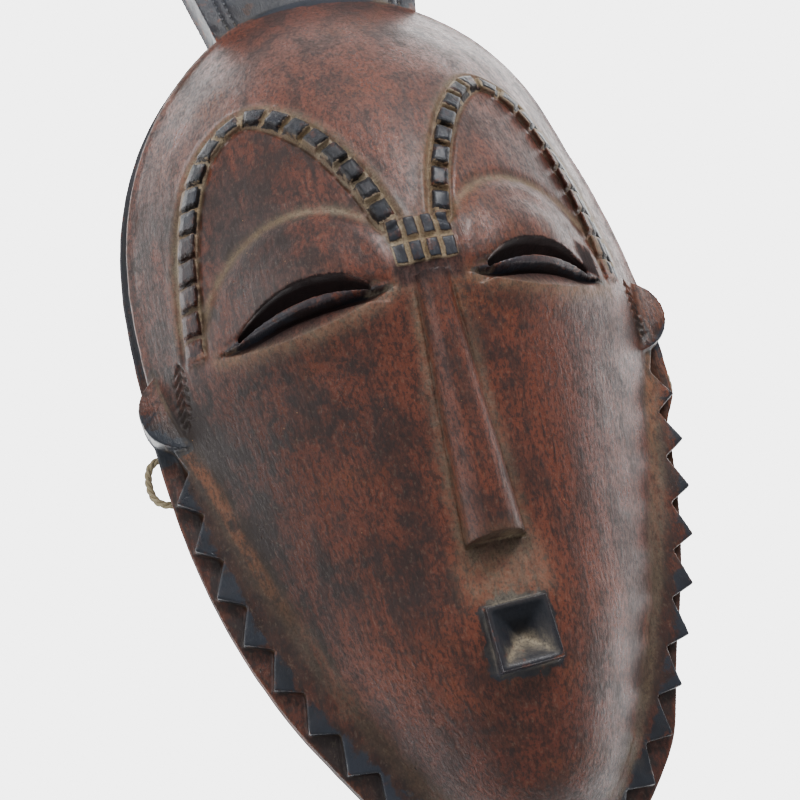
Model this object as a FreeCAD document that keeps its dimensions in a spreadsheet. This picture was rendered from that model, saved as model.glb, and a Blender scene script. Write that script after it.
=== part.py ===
import FreeCAD, Part
import math
import os

# Carved wooden face mask with a toothed beard border, round ears, a flat crest and a
# twine hanging cord behind it. Millimetres.
#
# Frame: +Z runs up the mask, +X to the right of someone who faces it, and the face looks
# towards -Y. The flat back rim lies in the plane y = 0. The origin is in that plane, on
# the centre line, level with the two pairs of cord holes. "Relief" is how far a point of
# the face stands in front of the toothed plate.

Vector = FreeCAD.Vector

DIMENSIONS = [
    # the blank
    ("plate_depth", 14.0, "front of the toothed plate ahead of the back rim"),
    ("ledge_drop", 3.2, "rim ledge behind the front of the toothed plate"),
    ("ledge_width", 2.6, "rim ledge beyond the foot of the face, upper half"),
    ("carving_wall", 10.0, "wood left behind the face, measured front to back"),
    ("rim_width", 9.0, "wood between the rim's outline and the hollow"),
    # outline of the face
    ("head_centre", 37.0, "height where the face is widest, the centre of the round head"),
    ("head_rise", 126.0, "from that height to the top of the head"),
    ("face_half_width", 82.0, "centre line to the foot of the face at the temples"),
    ("head_fullness", 2.2, "exponent of the upper outline, along its height"),
    ("jaw_squareness", 2.4, "exponent of the lower outline, along its height"),
    ("jaw_fullness", 0.72, "exponent of the lower outline, across its width"),
    # the face by stations down the centre line: spacing, relief, half width of its foot
    ("forehead_relief", 53.0, "forehead"),
    ("bridge_drop", 17.0, "from the widest height down to the brow bridge"),
    ("bridge_relief", 51.0, "centre line at the bridge"),
    ("bridge_narrowing", 1.5, "foot of the face inside its temple width at the bridge"),
    ("cheek_drop", 30.0, "from the bridge down to the cheekbones"),
    ("cheek_relief", 43.5, "centre line between the cheeks"),
    ("cheek_narrowing", 11.0, "foot inside the temple width at the cheeks"),
    ("nose_drop", 40.0, "from the cheekbones down to the nose's lower end"),
    ("nose_base_relief", 34.5, "centre line under the nose"),
    ("nose_base_narrowing", 24.0, "foot inside the temple width under the nose"),
    ("mouth_drop", 25.5, "from the nose's lower end to the middle of the mouth"),
    ("mouth_relief", 32.0, "centre line at the mouth"),
    ("mouth_narrowing", 34.5, "foot inside the temple width at the mouth"),
    ("jaw_drop", 34.5, "from the middle of the mouth down to the jaw"),
    ("jaw_relief", 20.0, "centre line at the jaw"),
    ("jaw_narrowing", 53.5, "foot inside the temple width at the jaw"),
    ("chin_fall", 22.0, "from the jaw down to where the face meets the plate"),
    ("chin_radius", 13.5, "how round the chin is, seen from below"),
    ("chin_margin", 10.0, "plate and rim below the face"),
    ("foot_blend", 4.0, "how softly the face runs out into the plate"),
    # brows and the bridge between them
    ("brow_width", 5.2, "width of the chequered brow band"),
    ("brow_proud", 1.5, "height of its blocks over the face"),
    ("brow_pitch", 8.0, "from block to block along the band"),
    ("brow_groove", 1.9, "width of the groove between two blocks"),
    ("bridge_width", 17.6, "width of the chequered bridge"),
    ("bridge_lift", 6.0, "its lower edge above the bridge's own height"),
    ("bridge_tall", 13.1, "from its lower to its upper edge"),
    ("bridge_groove", 1.5, "width of the grooves in the bridge"),
    ("orbit_sink", 2.2, "how far the hollow under each brow is sunk"),
    # eyes
    ("eye_centre", 35.5, "centre line to the middle of an eye"),
    ("eye_lift", 2.5, "outer corners of the eyes above the height of the bridge"),
    ("eye_tilt", 1.6, "inner corners below the outer ones"),
    ("eye_half_length", 21.5, "half the length of an eye slit"),
    ("eye_rise", 7.6, "how far the slit's upper edge arches"),
    ("eye_opening", 3.8, "height of the slit at its middle"),
    ("lid_bulge", 5.5, "how far the upper lid stands out"),
    ("lid_half_width", 26.0, "half the width of the lid"),
    ("lid_half_height", 20.5, "half the height of the eyeball form"),
    ("eye_rim", 2.6, "width of the thin rim under the slit"),
    ("eye_rim_proud", 1.3, "height of that rim"),
    # nose and mouth
    ("nose_gap", 4.0, "from the chequered bridge down to the nose's upper end"),
    ("nose_top_width", 10.0, "width at the upper end"),
    ("nose_base_width", 16.5, "width at the lower end"),
    ("nose_proud", 8.5, "height of the ridge over the face, lower end"),
    ("nose_top_proud", 4.0, "height of the ridge over the face, upper end"),
    ("mouth_size", 16.6, "outside of the square mouth"),
    ("mouth_proud", 3.8, "how far the mouth stands out"),
    ("mouth_lip", 1.7, "thickness of its lips"),
    ("mouth_recess", 6.5, "depth of the hopper inside the lips"),
    # ears
    ("ear_radius", 12.8, "radius of the half-round ear"),
    ("ear_height", 17.5, "height of its centre"),
    ("ear_overhang", 1.6, "how far it stands out beyond the rim"),
    ("ear_thickness", 10.5, "front to back"),
    ("ear_back", 7.5, "back of the ear ahead of the back rim"),
    # teeth
    ("tooth_start", -10.5, "height of the first tooth's tip"),
    ("tooth_pitch", 15.5, "from tip to tip along the rim"),
    ("tooth_reach", 1.3, "from the rim's outline in to a tip"),
    ("notch_reach", 7.8, "from the rim's outline in to a notch"),
    ("notch_offset", 6.2, "along the rim from a tip to the notch below it"),
    # crest
    ("crest_base_width", 72.0, "width beside the top of the head"),
    ("crest_base_drop", 13.0, "height of that width, below the top of the head"),
    ("crest_rise", 51.0, "from the top of the head to the top of the crest"),
    ("crest_flare", 11.0, "slope of its sides from upright, in degrees"),
    ("crest_thickness", 16.0, "front to back"),
    ("crest_groove_inset", 5.0, "from its side to the nearer of two grooves"),
    ("crest_groove_gap", 3.2, "between the two grooves"),
    ("crest_groove_width", 1.1, "width of a groove"),
    # hanging cord
    ("cord_diameter", 2.2, "twine"),
    ("cord_hole", 3.2, "diameter of the cord holes"),
    ("cord_hole_spacing", 15.0, "between the two holes of a pair"),
    ("cord_depth", 4.5, "centre of the holes ahead of the back rim"),
    ("knot_inset", 13.0, "from the inner face of the rim in to a knot"),
    ("knot_length", 7.0, "knot, along the cord"),
    ("knot_width", 5.2, "knot, across the cord"),
    ("swing_gap", 0.3, "between a knot and the span that swings from it"),
]

FRONT = -120.0   # in front of every carved surface
BEHIND = 60.0    # behind the back rim, for cuts that run right through


# ---------------------------------------------------------------- the sheet of sizes

def make_sheet(doc):
    """Write every driving dimension into the spreadsheet under its own alias."""
    sheet = doc.addObject("Spreadsheet::Sheet", "Sizes")
    for row, (alias, value, meaning) in enumerate(DIMENSIONS, start=1):
        sheet.set("A%d" % row, meaning)
        sheet.set("B%d" % row, str(value))
        sheet.setAlias("B%d" % row, alias)
    doc.recompute()
    return sheet


class Sizes:
    """Reads the sheet's values by their aliases, and chains the heights down the face."""

    def __init__(self, sheet):
        self._sheet = sheet

    def __getattr__(self, alias):
        return float(self._sheet.get(alias))

    @property
    def bridge_height(self):
        return self.head_centre - self.bridge_drop

    @property
    def cheek_height(self):
        return self.bridge_height - self.cheek_drop

    @property
    def nose_base_height(self):
        return self.cheek_height - self.nose_drop

    @property
    def mouth_height(self):
        return self.nose_base_height - self.mouth_drop

    @property
    def jaw_height(self):
        return self.mouth_height - self.jaw_drop

    @property
    def chin_height(self):
        return self.jaw_height - self.chin_fall

    @property
    def chin_drop(self):
        """From the widest height to the lowest point of the rim."""
        return self.head_centre - self.chin_height + self.chin_margin

    @property
    def eye_level(self):
        return self.bridge_height + self.eye_lift

    @property
    def bridge_bottom(self):
        return self.bridge_height + self.bridge_lift

    @property
    def bridge_top(self):
        return self.bridge_bottom + self.bridge_tall

    @property
    def nose_top(self):
        return self.bridge_bottom - self.nose_gap

    @property
    def head_top(self):
        return self.head_centre + self.head_rise

    @property
    def crest_base(self):
        return self.head_top - self.crest_base_drop

    @property
    def crest_top(self):
        return self.head_top + self.crest_rise


# ---------------------------------------------------------------- the carved surface

def curve_through(stations):
    """A smooth function of height through (height, value) stations, straight beyond them."""
    stations = sorted(stations)
    heights = [station[0] for station in stations]
    values = [station[1] for station in stations]
    last = len(stations) - 1
    slopes = []
    for i in range(len(stations)):
        low = max(i - 1, 0)
        high = min(i + 1, last)
        slopes.append((values[high] - values[low]) / (heights[high] - heights[low]))

    def value_at(height):
        if height <= heights[0]:
            return values[0] + slopes[0] * (height - heights[0])
        if height >= heights[last]:
            return values[last] + slopes[last] * (height - heights[last])
        i = max(k for k in range(last) if heights[k] <= height)
        span = heights[i + 1] - heights[i]
        t = (height - heights[i]) / span
        start = (1 + 2 * t) * (1 - t) ** 2 * values[i] + t * (1 - t) ** 2 * span * slopes[i]
        end = t * t * (3 - 2 * t) * values[i + 1] - t * t * (1 - t) * span * slopes[i + 1]
        return start + end

    return value_at


class Face:
    """The carved form: its relief, its outlines and points on it."""

    def __init__(self, d):
        self.d = d
        lower = [
            (d.chin_height, 0.0, 0.0),
            (d.jaw_height, d.jaw_relief, d.jaw_narrowing),
            (d.mouth_height, d.mouth_relief, d.mouth_narrowing),
            (d.nose_base_height, d.nose_base_relief, d.nose_base_narrowing),
            (d.cheek_height, d.cheek_relief, d.cheek_narrowing),
            (d.bridge_height, d.bridge_relief, d.bridge_narrowing),
            (d.head_centre, d.forehead_relief, 0.0),
        ]
        fullness = [(d.chin_height, 1 / (2 * d.chin_radius))]
        for height, relief, narrowing in lower[1:]:
            foot = d.face_half_width - narrowing
            fullness.append((height, relief / foot ** 2))
        self.spine = curve_through([(height, relief) for height, relief, narrowing in lower])
        self.fullness = curve_through(fullness)
        self.rim_half_width = d.face_half_width + d.ledge_width

    def plain_relief(self, x, z):
        """The face without its eyes: a parabola across, whose top follows the spine."""
        d = self.d
        if z > d.head_centre:
            across = (x / d.face_half_width) ** 2
            along = ((z - d.head_centre) / d.head_rise) ** d.head_fullness
            return d.forehead_relief * (1 - along - across)
        return self.spine(z) - self.fullness(z) * x * x

    def eye_relief(self, x, z):
        """The sunk orbit and the bulging lid on it."""
        d = self.d
        across = abs(x) - d.eye_centre - 2.0
        orbit = (across / 28.0) ** 2 + ((z - d.eye_level - 26.0) / 42.0) ** 2
        sink = -d.orbit_sink * math.exp(-orbit ** 3)
        lid_side = ((abs(x) - d.eye_centre + 2.5) / d.lid_half_width) ** 2
        lid = lid_side + ((z - d.eye_level - 6.0) / d.lid_half_height) ** 2
        return sink + d.lid_bulge * math.exp(-1.6 * lid ** 1.5)

    def relief(self, x, z, with_eyes=True):
        """The relief over the plate, which it meets in a soft hollow crease."""
        height = self.plain_relief(x, z)
        if with_eyes:
            height += self.eye_relief(x, z)
        blend = self.d.foot_blend
        return 0.5 * (height + math.sqrt(height * height + blend * blend))

    def surface_y(self, x, z, with_eyes=True):
        return -self.d.plate_depth - self.relief(x, z, with_eyes)

    def outline(self, inset=0.0):
        """The rim's outline, or one that lies inside it, as a closed list of points."""
        d = self.d
        half_width = self.rim_half_width - inset
        rise = d.head_rise + d.ledge_width - inset
        drop = d.chin_drop - 1.3 * inset
        points = []
        steps = 48
        for i in range(2 * steps + 1):
            angle = math.pi * i / steps / 2
            height = d.head_centre + rise * self.head_share(angle)
            points.append((half_width * math.cos(angle), height))
        for i in range(1, steps):
            share = 1 - math.cos(math.pi * i / steps / 2)
            points.append((-half_width * self.jaw_share(share), d.head_centre - drop * share))
        points.append((0.0, d.head_centre - drop))
        for i in range(steps - 1, 0, -1):
            share = 1 - math.cos(math.pi * i / steps / 2)
            points.append((half_width * self.jaw_share(share), d.head_centre - drop * share))
        return points

    def head_share(self, angle):
        """Height of the upper outline at an angle, as a share of the head's rise."""
        return math.sin(angle) ** (2 / self.d.head_fullness)

    def jaw_share(self, share):
        """Width of the lower outline, as a share of the full width, at a share of its height."""
        return (1 - share ** self.d.jaw_squareness) ** self.d.jaw_fullness

    def rim_walk(self, first_height, step):
        """Points down the right-hand rim from a height to the chin, with their normals."""
        d = self.d
        walk = []
        share = (d.head_centre - first_height) / d.chin_drop
        travelled = 0.0
        fine = 0.0005
        wanted = 0.0
        x_last = self.rim_half_width * self.jaw_share(share)
        while share + fine < 1:
            x_next = self.rim_half_width * self.jaw_share(share + fine)
            run = math.hypot(x_next - x_last, fine * d.chin_drop)
            if travelled >= wanted:
                normal = Vector(fine * d.chin_drop, 0, x_next - x_last).normalize()
                point = Vector(x_last, 0, d.head_centre - share * d.chin_drop)
                walk.append((point, normal))
                wanted += step
            travelled += run
            share += fine
            x_last = x_next
        return walk


# ---------------------------------------------------------------- shape helpers

def closed_wire(points_xz):
    """A closed polygon in the plane of the back rim."""
    vectors = [Vector(x, 0, z) for x, z in points_xz]
    return Part.makePolygon(vectors + [vectors[0]])


def smooth_wire(points_xz):
    """A closed smooth curve through points in the plane of the back rim."""
    curve = Part.BSplineCurve()
    curve.interpolate([Vector(x, 0, z) for x, z in points_xz], PeriodicFlag=True)
    return Part.Wire([curve.toShape()])


def upright_prism(wire, y_front, y_back):
    """A wire's area carried along Y between two depths."""
    face = Part.Face(wire)
    face.translate(Vector(0, y_front, 0))
    return face.extrude(Vector(0, y_back - y_front, 0))


def block_behind(face_form, columns, rows, with_eyes, shift):
    """Everything behind the carved surface, the surface itself moved back by a shift."""
    d = face_form.d
    margin = 12.0
    half = face_form.rim_half_width + margin
    low = d.head_centre - d.chin_drop - margin
    high = d.head_centre + d.head_rise + margin
    grid = []
    for i in range(columns):
        x = -half + 2 * half * i / (columns - 1)
        line = []
        for k in range(rows):
            z = low + (high - low) * k / (rows - 1)
            line.append(Vector(x, face_form.surface_y(x, z, with_eyes) + shift, z))
        grid.append(line)
    surface = Part.BSplineSurface()
    surface.interpolate(grid)
    return surface.toShape().extrude(Vector(0, -FRONT + BEHIND, 0))


def add_shape(doc, name, shape):
    """A document object that holds a computed shape."""
    holder = doc.addObject("Part::Feature", name)
    holder.Shape = shape
    return holder


def bind(thing, **expressions):
    """Tie properties of an object to cells of the sheet."""
    for path, expression in expressions.items():
        thing.setExpression(path.replace("__", "."), expression)


# ---------------------------------------------------------------- parts of the carving

def plate_outline(face_form):
    """The toothed plate: a plain round head above, teeth below, as one closed polygon."""
    d = face_form.d
    right = []
    first = d.tooth_start + d.notch_offset * 1.4
    steps = 40
    for i in range(steps + 1):
        angle = math.pi / 2 * i / steps
        x = d.face_half_width * math.cos(angle)
        right.append((x, d.head_centre + d.head_rise * face_form.head_share(angle)))
    right.reverse()
    shoulder = d.face_half_width
    right.append((shoulder, first + d.tooth_pitch))
    right.append((shoulder - d.notch_reach + d.tooth_reach, first))
    travel = face_form.rim_walk(d.tooth_start, 0.5)
    per_tooth = d.tooth_pitch / 0.5
    notch_steps = d.notch_offset / 0.5
    tooth = 0
    while (tooth + 0.75) * per_tooth < len(travel):
        tip, normal = travel[int(tooth * per_tooth)]
        tip = tip - normal * d.tooth_reach
        right.append((tip.x, tip.z))
        index = int(tooth * per_tooth + notch_steps)
        notch, normal = travel[min(index, len(travel) - 1)]
        notch = notch - normal * d.notch_reach
        if notch.x > d.tooth_reach:
            right.append((notch.x, notch.z))
        tooth += 1
    left = [(-x, z) for x, z in reversed(right) if x > 0.01]
    bottom = [(0.0, d.head_centre - d.chin_drop + d.tooth_reach)]
    return right + bottom + left


def brow_points(d):
    """The brow band's centre line from the bridge, over the apex, to its outer end."""
    inner = d.bridge_width / 2 - d.brow_width / 2 + 1.6
    return [
        (inner, d.bridge_top + 0.8),
        (d.eye_centre - 23.0, d.eye_level + 34.5),
        (d.eye_centre - 12.5, d.eye_level + 57.0),
        (d.eye_centre + 2.0, d.eye_level + 72.5),
        (d.eye_centre + 16.5, d.eye_level + 65.5),
        (d.eye_centre + 25.5, d.eye_level + 43.5),
        (d.eye_centre + 29.5, d.eye_level + 20.5),
        (d.eye_centre + 31.5, d.eye_level + 0.5),
    ]


def brow_blocks(d):
    """Each block's outline on the right-hand brow."""
    curve = Part.BSplineCurve()
    curve.interpolate([Vector(x, 0, z) for x, z in brow_points(d)])
    edge = curve.toShape()
    outlines = []
    count = int(edge.Length / d.brow_pitch)
    pitch = edge.Length / count
    for i in range(count):
        corners = []
        for end in (i * pitch, (i + 1) * pitch - d.brow_groove):
            parameter = edge.getParameterByLength(end)
            point = edge.valueAt(parameter)
            along = edge.tangentAt(parameter)
            side = Vector(-along.z, 0, along.x) * (d.brow_width / 2)
            corners.append((point + side, point - side))
        ring = [corners[0][0], corners[1][0], corners[1][1], corners[0][1]]
        outlines.append([(corner.x, corner.z) for corner in ring])
    return outlines


def bridge_blocks(d):
    """The outlines of the two rows of four blocks between the brows."""
    outlines = []
    columns = 4
    rows = 2
    width = (d.bridge_width - (columns - 1) * d.bridge_groove) / columns
    height = (d.bridge_top - d.bridge_bottom - (rows - 1) * d.bridge_groove) / rows
    for column in range(columns):
        left = -d.bridge_width / 2 + column * (width + d.bridge_groove)
        for row in range(rows):
            low = d.bridge_bottom + row * (height + d.bridge_groove)
            high = low + height
            right = left + width
            outlines.append([(left, low), (right, low), (right, high), (left, high)])
    return outlines


def arc_band(d, rise_low, rise_high, reach):
    """A crescent between two arcs that share the corners of the right-hand eye."""
    left = Vector(d.eye_centre - reach, 0, d.eye_level - d.eye_tilt)
    right = Vector(d.eye_centre + reach, 0, d.eye_level)
    upper = Part.Arc(left, Vector(d.eye_centre, 0, d.eye_level + rise_high), right)
    lower = Part.Arc(right, Vector(d.eye_centre, 0, d.eye_level + rise_low), left)
    return Part.Wire([upper.toShape(), lower.toShape()])


def mirrored(shape):
    """The same shape on the other side of the centre line."""
    return shape.mirror(Vector(0, 0, 0), Vector(1, 0, 0))


def raised(block, outlines, proud):
    """The parts of a block inside the outlines, lifted off it by a height."""
    lifted = block.copy()
    lifted.translate(Vector(0, -proud, 0))
    prisms = [upright_prism(closed_wire(outline), FRONT, -1.0) for outline in outlines]
    return lifted.common(Part.makeCompound(prisms))


def nose_shape(face_form):
    """A rounded ridge that widens downwards and is cut off square at its lower end."""
    d = face_form.d
    sections = []
    ends = (
        (d.nose_base_height, d.nose_base_width, d.nose_proud),
        (d.nose_top, d.nose_top_width, d.nose_top_proud),
    )
    for height, width, proud in ends:
        base_y = face_form.surface_y(width / 2, height, False)
        crown_y = face_form.surface_y(0, height, False) - proud
        sink = 12.0
        left = Vector(-width / 2, base_y, height)
        right = Vector(width / 2, base_y, height)
        crown = Part.Arc(left, Vector(0, crown_y, height), right).toShape()
        back_left = Vector(-width / 2, base_y + sink, height)
        back_right = Vector(width / 2, base_y + sink, height)
        sides = Part.makePolygon([right, back_right, back_left, left])
        sections.append(Part.Wire([crown] + sides.Edges))
    return Part.makeLoft(sections, True, True)


def mouth_shapes(face_form):
    """The square lips and the hopper cut into them."""
    d = face_form.d
    surface = face_form.surface_y(0, d.mouth_height, False)
    front = surface - d.mouth_proud
    half = d.mouth_size / 2
    sink = 8.0
    lips = Part.makeBox(
        d.mouth_size, d.mouth_proud + sink, d.mouth_size,
        Vector(-half, front, d.mouth_height - half))
    opening = half - d.mouth_lip
    rings = []
    for reach, depth in ((opening, front - 0.5), (opening * 0.12, front + d.mouth_recess)):
        corners = [
            Vector(-reach, depth, d.mouth_height - reach),
            Vector(reach, depth, d.mouth_height - reach),
            Vector(reach, depth, d.mouth_height + reach),
            Vector(-reach, depth, d.mouth_height + reach),
        ]
        rings.append(Part.makePolygon(corners + [corners[0]]))
    hopper = Part.makeLoft(rings, True, True)
    return lips, hopper


def crest_shape(d):
    """The flat flaring slab on the head, with two fine grooves along each side."""
    flare = math.tan(math.radians(d.crest_flare))
    top_half = d.crest_base_width / 2 + flare * (d.crest_top - d.crest_base)
    base_half = d.crest_base_width / 2
    root = d.crest_base - 12.0
    root_half = base_half - flare * 12.0
    corner_drop = 5.0
    outline = Part.Wire([
        Part.LineSegment(Vector(-root_half, 0, root), Vector(root_half, 0, root)).toShape(),
        Part.LineSegment(
            Vector(root_half, 0, root),
            Vector(top_half, 0, d.crest_top - corner_drop)).toShape(),
        Part.Arc(
            Vector(top_half, 0, d.crest_top - corner_drop),
            Vector(0, 0, d.crest_top),
            Vector(-top_half, 0, d.crest_top - corner_drop)).toShape(),
        Part.LineSegment(
            Vector(-top_half, 0, d.crest_top - corner_drop),
            Vector(-root_half, 0, root)).toShape(),
    ])
    slab = upright_prism(outline, -d.crest_thickness, 0.0)
    grooves = []
    for side in (-1, 1):
        for index in range(2):
            inset = d.crest_groove_inset + index * d.crest_groove_gap
            low = (side * (root_half - inset), root)
            high = (side * (top_half - inset), d.crest_top + 5.0)
            width = -side * d.crest_groove_width
            strip = [low, high, (high[0] + width, high[1]), (low[0] + width, low[1])]
            depth = -d.crest_thickness + d.crest_groove_width * 0.8
            grooves.append(upright_prism(closed_wire(strip), FRONT, depth))
    return slab.cut(Part.makeCompound(grooves))


# ---------------------------------------------------------------- the mask's block

def build_mask(doc, d):
    """Fuse what stands out of the block and cut what is hollowed out of it."""
    face_form = Face(d)
    outline = smooth_wire(face_form.outline()[:-1])
    carved = block_behind(face_form, 43, 67, True, 0.0)
    plain = block_behind(face_form, 23, 35, False, 0.0)
    plate = upright_prism(closed_wire(plate_outline(face_form)), FRONT, 0.0)
    dome = add_shape(doc, "Dome", carved.common(plate))

    ledge_shape = upright_prism(outline, -d.plate_depth + d.ledge_drop, 0.0)
    ledge = add_shape(doc, "Ledge", ledge_shape)

    right_brow = raised(plain, brow_blocks(d), d.brow_proud)
    bridge = raised(plain, bridge_blocks(d), d.brow_proud)
    brows = add_shape(doc, "Brows", Part.makeCompound([right_brow, mirrored(right_brow), bridge]))

    slit_floor = d.eye_rise - d.eye_opening
    rim_wire = arc_band(d, slit_floor - d.eye_rim, slit_floor, d.eye_half_length + 2.0)
    rim_band = upright_prism(rim_wire, FRONT, -1.0)
    lifted = carved.copy()
    lifted.translate(Vector(0, -d.eye_rim_proud, 0))
    right_rim = lifted.common(rim_band)
    eye_rims = add_shape(doc, "EyeRims", Part.makeCompound([right_rim, mirrored(right_rim)]))

    nose = add_shape(doc, "Nose", nose_shape(face_form))
    lips_shape, hopper_shape = mouth_shapes(face_form)
    lips = add_shape(doc, "Lips", lips_shape)
    hopper = add_shape(doc, "Hopper", hopper_shape)
    crest = add_shape(doc, "Crest", crest_shape(d))

    ears = []
    for side, sign in (("Right", ""), ("Left", "-")):
        ear = doc.addObject("Part::Cylinder", side + "Ear")
        ear.Placement.Rotation = FreeCAD.Rotation(Vector(1, 0, 0), 90)
        centre = "(Sizes.face_half_width + Sizes.ledge_width + Sizes.ear_overhang"
        bind(
            ear,
            Radius="Sizes.ear_radius",
            Height="Sizes.ear_thickness",
            Placement__Base__x=sign + centre + " - Sizes.ear_radius)",
            Placement__Base__y="-Sizes.ear_back",
            Placement__Base__z="Sizes.ear_height")
        ears.append(ear)

    body = doc.addObject("Part::MultiFuse", "Body")
    body.Shapes = [dome, ledge, nose, lips, crest] + ears
    detail = doc.addObject("Part::MultiFuse", "DetailedBody")
    detail.Shapes = [body, brows, eye_rims]

    inside = block_behind(face_form, 23, 35, False, d.carving_wall)
    inner_wire = smooth_wire(face_form.outline(d.rim_width)[:-1])
    hollow_prism = upright_prism(inner_wire, FRONT, BEHIND / 2)
    hollow = add_shape(doc, "Hollow", inside.common(hollow_prism))

    slit_wire = arc_band(d, d.eye_rise - d.eye_opening, d.eye_rise, d.eye_half_length)
    slit = upright_prism(slit_wire, FRONT, 0.0)
    slits = add_shape(doc, "EyeSlits", Part.makeCompound([slit, mirrored(slit)]))

    holes = []
    for name, sign in (("UpperCordHoles", ""), ("LowerCordHoles", "-")):
        hole = doc.addObject("Part::Cylinder", name)
        hole.Placement.Rotation = FreeCAD.Rotation(Vector(0, 1, 0), 90)
        reach = "(Sizes.face_half_width + Sizes.ledge_width + Sizes.ear_radius)"
        bind(
            hole,
            Radius="Sizes.cord_hole / 2",
            Height="2 * " + reach,
            Placement__Base__x="-" + reach,
            Placement__Base__y="-Sizes.cord_depth",
            Placement__Base__z=sign + "Sizes.cord_hole_spacing / 2")
        holes.append(hole)

    cuts = doc.addObject("Part::MultiFuse", "Cuts")
    cuts.Shapes = [hollow, slits, hopper] + holes
    mask = doc.addObject("Part::Cut", "Mask")
    mask.Label = "mask"
    mask.Base = detail
    mask.Tool = cuts
    return mask, face_form


# ---------------------------------------------------------------- the cord

def tube_path(points):
    """Straight runs joined by the largest tangent arcs that they allow."""
    edges = []
    radii = []
    length = 0.0
    start = points[0]
    for before, corner, after in zip(points, points[1:], points[2:]):
        arriving = (corner - before).normalize()
        leaving = (after - corner).normalize()
        turn = arriving.getAngle(leaving)
        trim = 0.45 * min((corner - before).Length, (after - corner).Length)
        radius = trim / math.tan(turn / 2)
        entry = corner - arriving * trim
        leave = corner + leaving * trim
        inward = (leaving - arriving).normalize()
        to_corner = math.hypot(radius, trim)
        middle = corner + inward * (to_corner - radius)
        edges.append(Part.LineSegment(start, entry).toShape())
        edges.append(Part.Arc(entry, middle, leave).toShape())
        length += (entry - start).Length + radius * turn
        radii.append(radius)
        start = leave
    edges.append(Part.LineSegment(start, points[-1]).toShape())
    length += (points[-1] - start).Length
    return Part.Wire(edges), length, radii


def cord_tube(name, points, diameter):
    """A tube along a route, checked against its section times its length."""
    path, length, radii = tube_path(points)
    direction = (points[1] - points[0]).normalize()
    circle = Part.Circle(points[0], direction, diameter / 2).toShape()
    tube = path.makePipeShell([Part.Wire([circle])], True, True)
    expected = math.pi * diameter ** 2 / 4 * length
    if abs(tube.Volume - expected) > 0.01 * expected:
        raise RuntimeError("%s: volume %.1f, expected %.1f" % (name, tube.Volume, expected))
    print("%s length %.1f mm, radii %s" % (name, length, ["%.1f" % r for r in radii]))
    return tube


def tie_route(d, rim):
    """From the knot out through the upper hole, round the bight and back by the lower one."""
    half = d.cord_hole_spacing / 2
    inner = rim - d.rim_width
    knot = inner - d.knot_inset
    near = -d.cord_depth
    return [
        Vector(knot + 1.0, near, 1.3),
        Vector(inner - 6.5, near, half - 2.9),
        Vector(inner - 1.5, near, half - 0.3),
        Vector(rim - 3.5, near, half + 0.2),
        Vector(rim + 3.2, near, half - 0.1),
        Vector(rim + 7.2, near + 0.6, half - 4.6),
        Vector(rim + 6.2, near + 0.6, 3.6 - half),
        Vector(rim + 1.6, near, 0.1 - half),
        Vector(rim - 4.5, near, -half - 0.2),
        Vector(inner - 1.5, near, 0.3 - half),
        Vector(inner - 6.5, near, 2.7 - half),
        Vector(knot + 1.0, near, -1.3),
    ]


def span_route(d, rim):
    """The cord's long stretch, which sags inside the hollow from knot to knot."""
    knot = rim - d.rim_width - d.knot_inset
    start = knot - d.knot_length / 2 - d.swing_gap
    near = -d.cord_depth
    return [
        Vector(-start, near, 0),
        Vector(-start + 6.5, near, -0.4),
        Vector(-start + 13.0, near, -7.0),
        Vector(-start + 20.0, near, -19.0),
        Vector(-28.0, near, -31.0),
        Vector(-14.5, near, -39.5),
        Vector(1.0, near, -43.0),
        Vector(16.0, near, -39.0),
        Vector(28.5, near, -30.0),
        Vector(start - 19.5, near, -18.0),
        Vector(start - 12.5, near, -6.3),
        Vector(start - 6.5, near, -0.4),
        Vector(start, near, 0),
    ]


def build_cord(doc, d, face_form):
    """The two ties, their knots and the span between them."""
    made = []
    share = d.head_centre / d.chin_drop
    rim = face_form.rim_half_width * face_form.jaw_share(share)
    right_tie = cord_tube("tie", tie_route(d, rim), d.cord_diameter)
    for side, shape in (("right", right_tie), ("left", mirrored(right_tie))):
        tie = add_shape(doc, "Tie" + side.title(), shape)
        tie.Label = "cord_tie_" + side
        made.append(tie)
    for side, sign in (("right", 1), ("left", -1)):
        knot = doc.addObject("Part::Ellipsoid", "Knot" + side.title())
        knot.Label = "cord_knot_" + side
        bind(
            knot,
            Radius1="Sizes.knot_width / 2",
            Radius2="Sizes.knot_length / 2",
            Radius3="Sizes.knot_width / 2",
            Placement__Base__y="-Sizes.cord_depth")
        knot.Placement.Base.x = sign * (rim - d.rim_width - d.knot_inset)
        made.append(knot)
    span = add_shape(doc, "Span", cord_tube("span", span_route(d, rim), d.cord_diameter))
    span.Label = "hanging_cord"
    made.append(span)
    return made


# ---------------------------------------------------------------- build, check and write

def check_document(doc):
    """Stop if any object of the document failed to compute."""
    for thing in doc.Objects:
        bad = [state for state in thing.State if state in ("Invalid", "Error")]
        if bad:
            raise RuntimeError("%s did not compute: %s" % (thing.Name, bad))


def write_part(thing):
    """Check one sub-part's solid and write it under its label."""
    shape = thing.Shape
    if shape.isNull() or not shape.isValid():
        raise RuntimeError("%s has no valid shape" % thing.Label)
    if len(shape.Solids) != 1:
        raise RuntimeError("%s has %d solids" % (thing.Label, len(shape.Solids)))
    shape.exportStep("parts/%s.step" % thing.Label)
    print("%-16s %10.0f mm3" % (thing.Label, shape.Volume))


def main():
    doc = FreeCAD.newDocument("CarvedMask")
    sheet = make_sheet(doc)
    d = Sizes(sheet)
    mask, face_form = build_mask(doc, d)
    cord = build_cord(doc, d, face_form)
    doc.recompute()
    check_document(doc)
    os.makedirs("parts", exist_ok=True)
    for thing in [mask] + cord:
        write_part(thing)


main()
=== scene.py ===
import math
from types import SimpleNamespace

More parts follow.
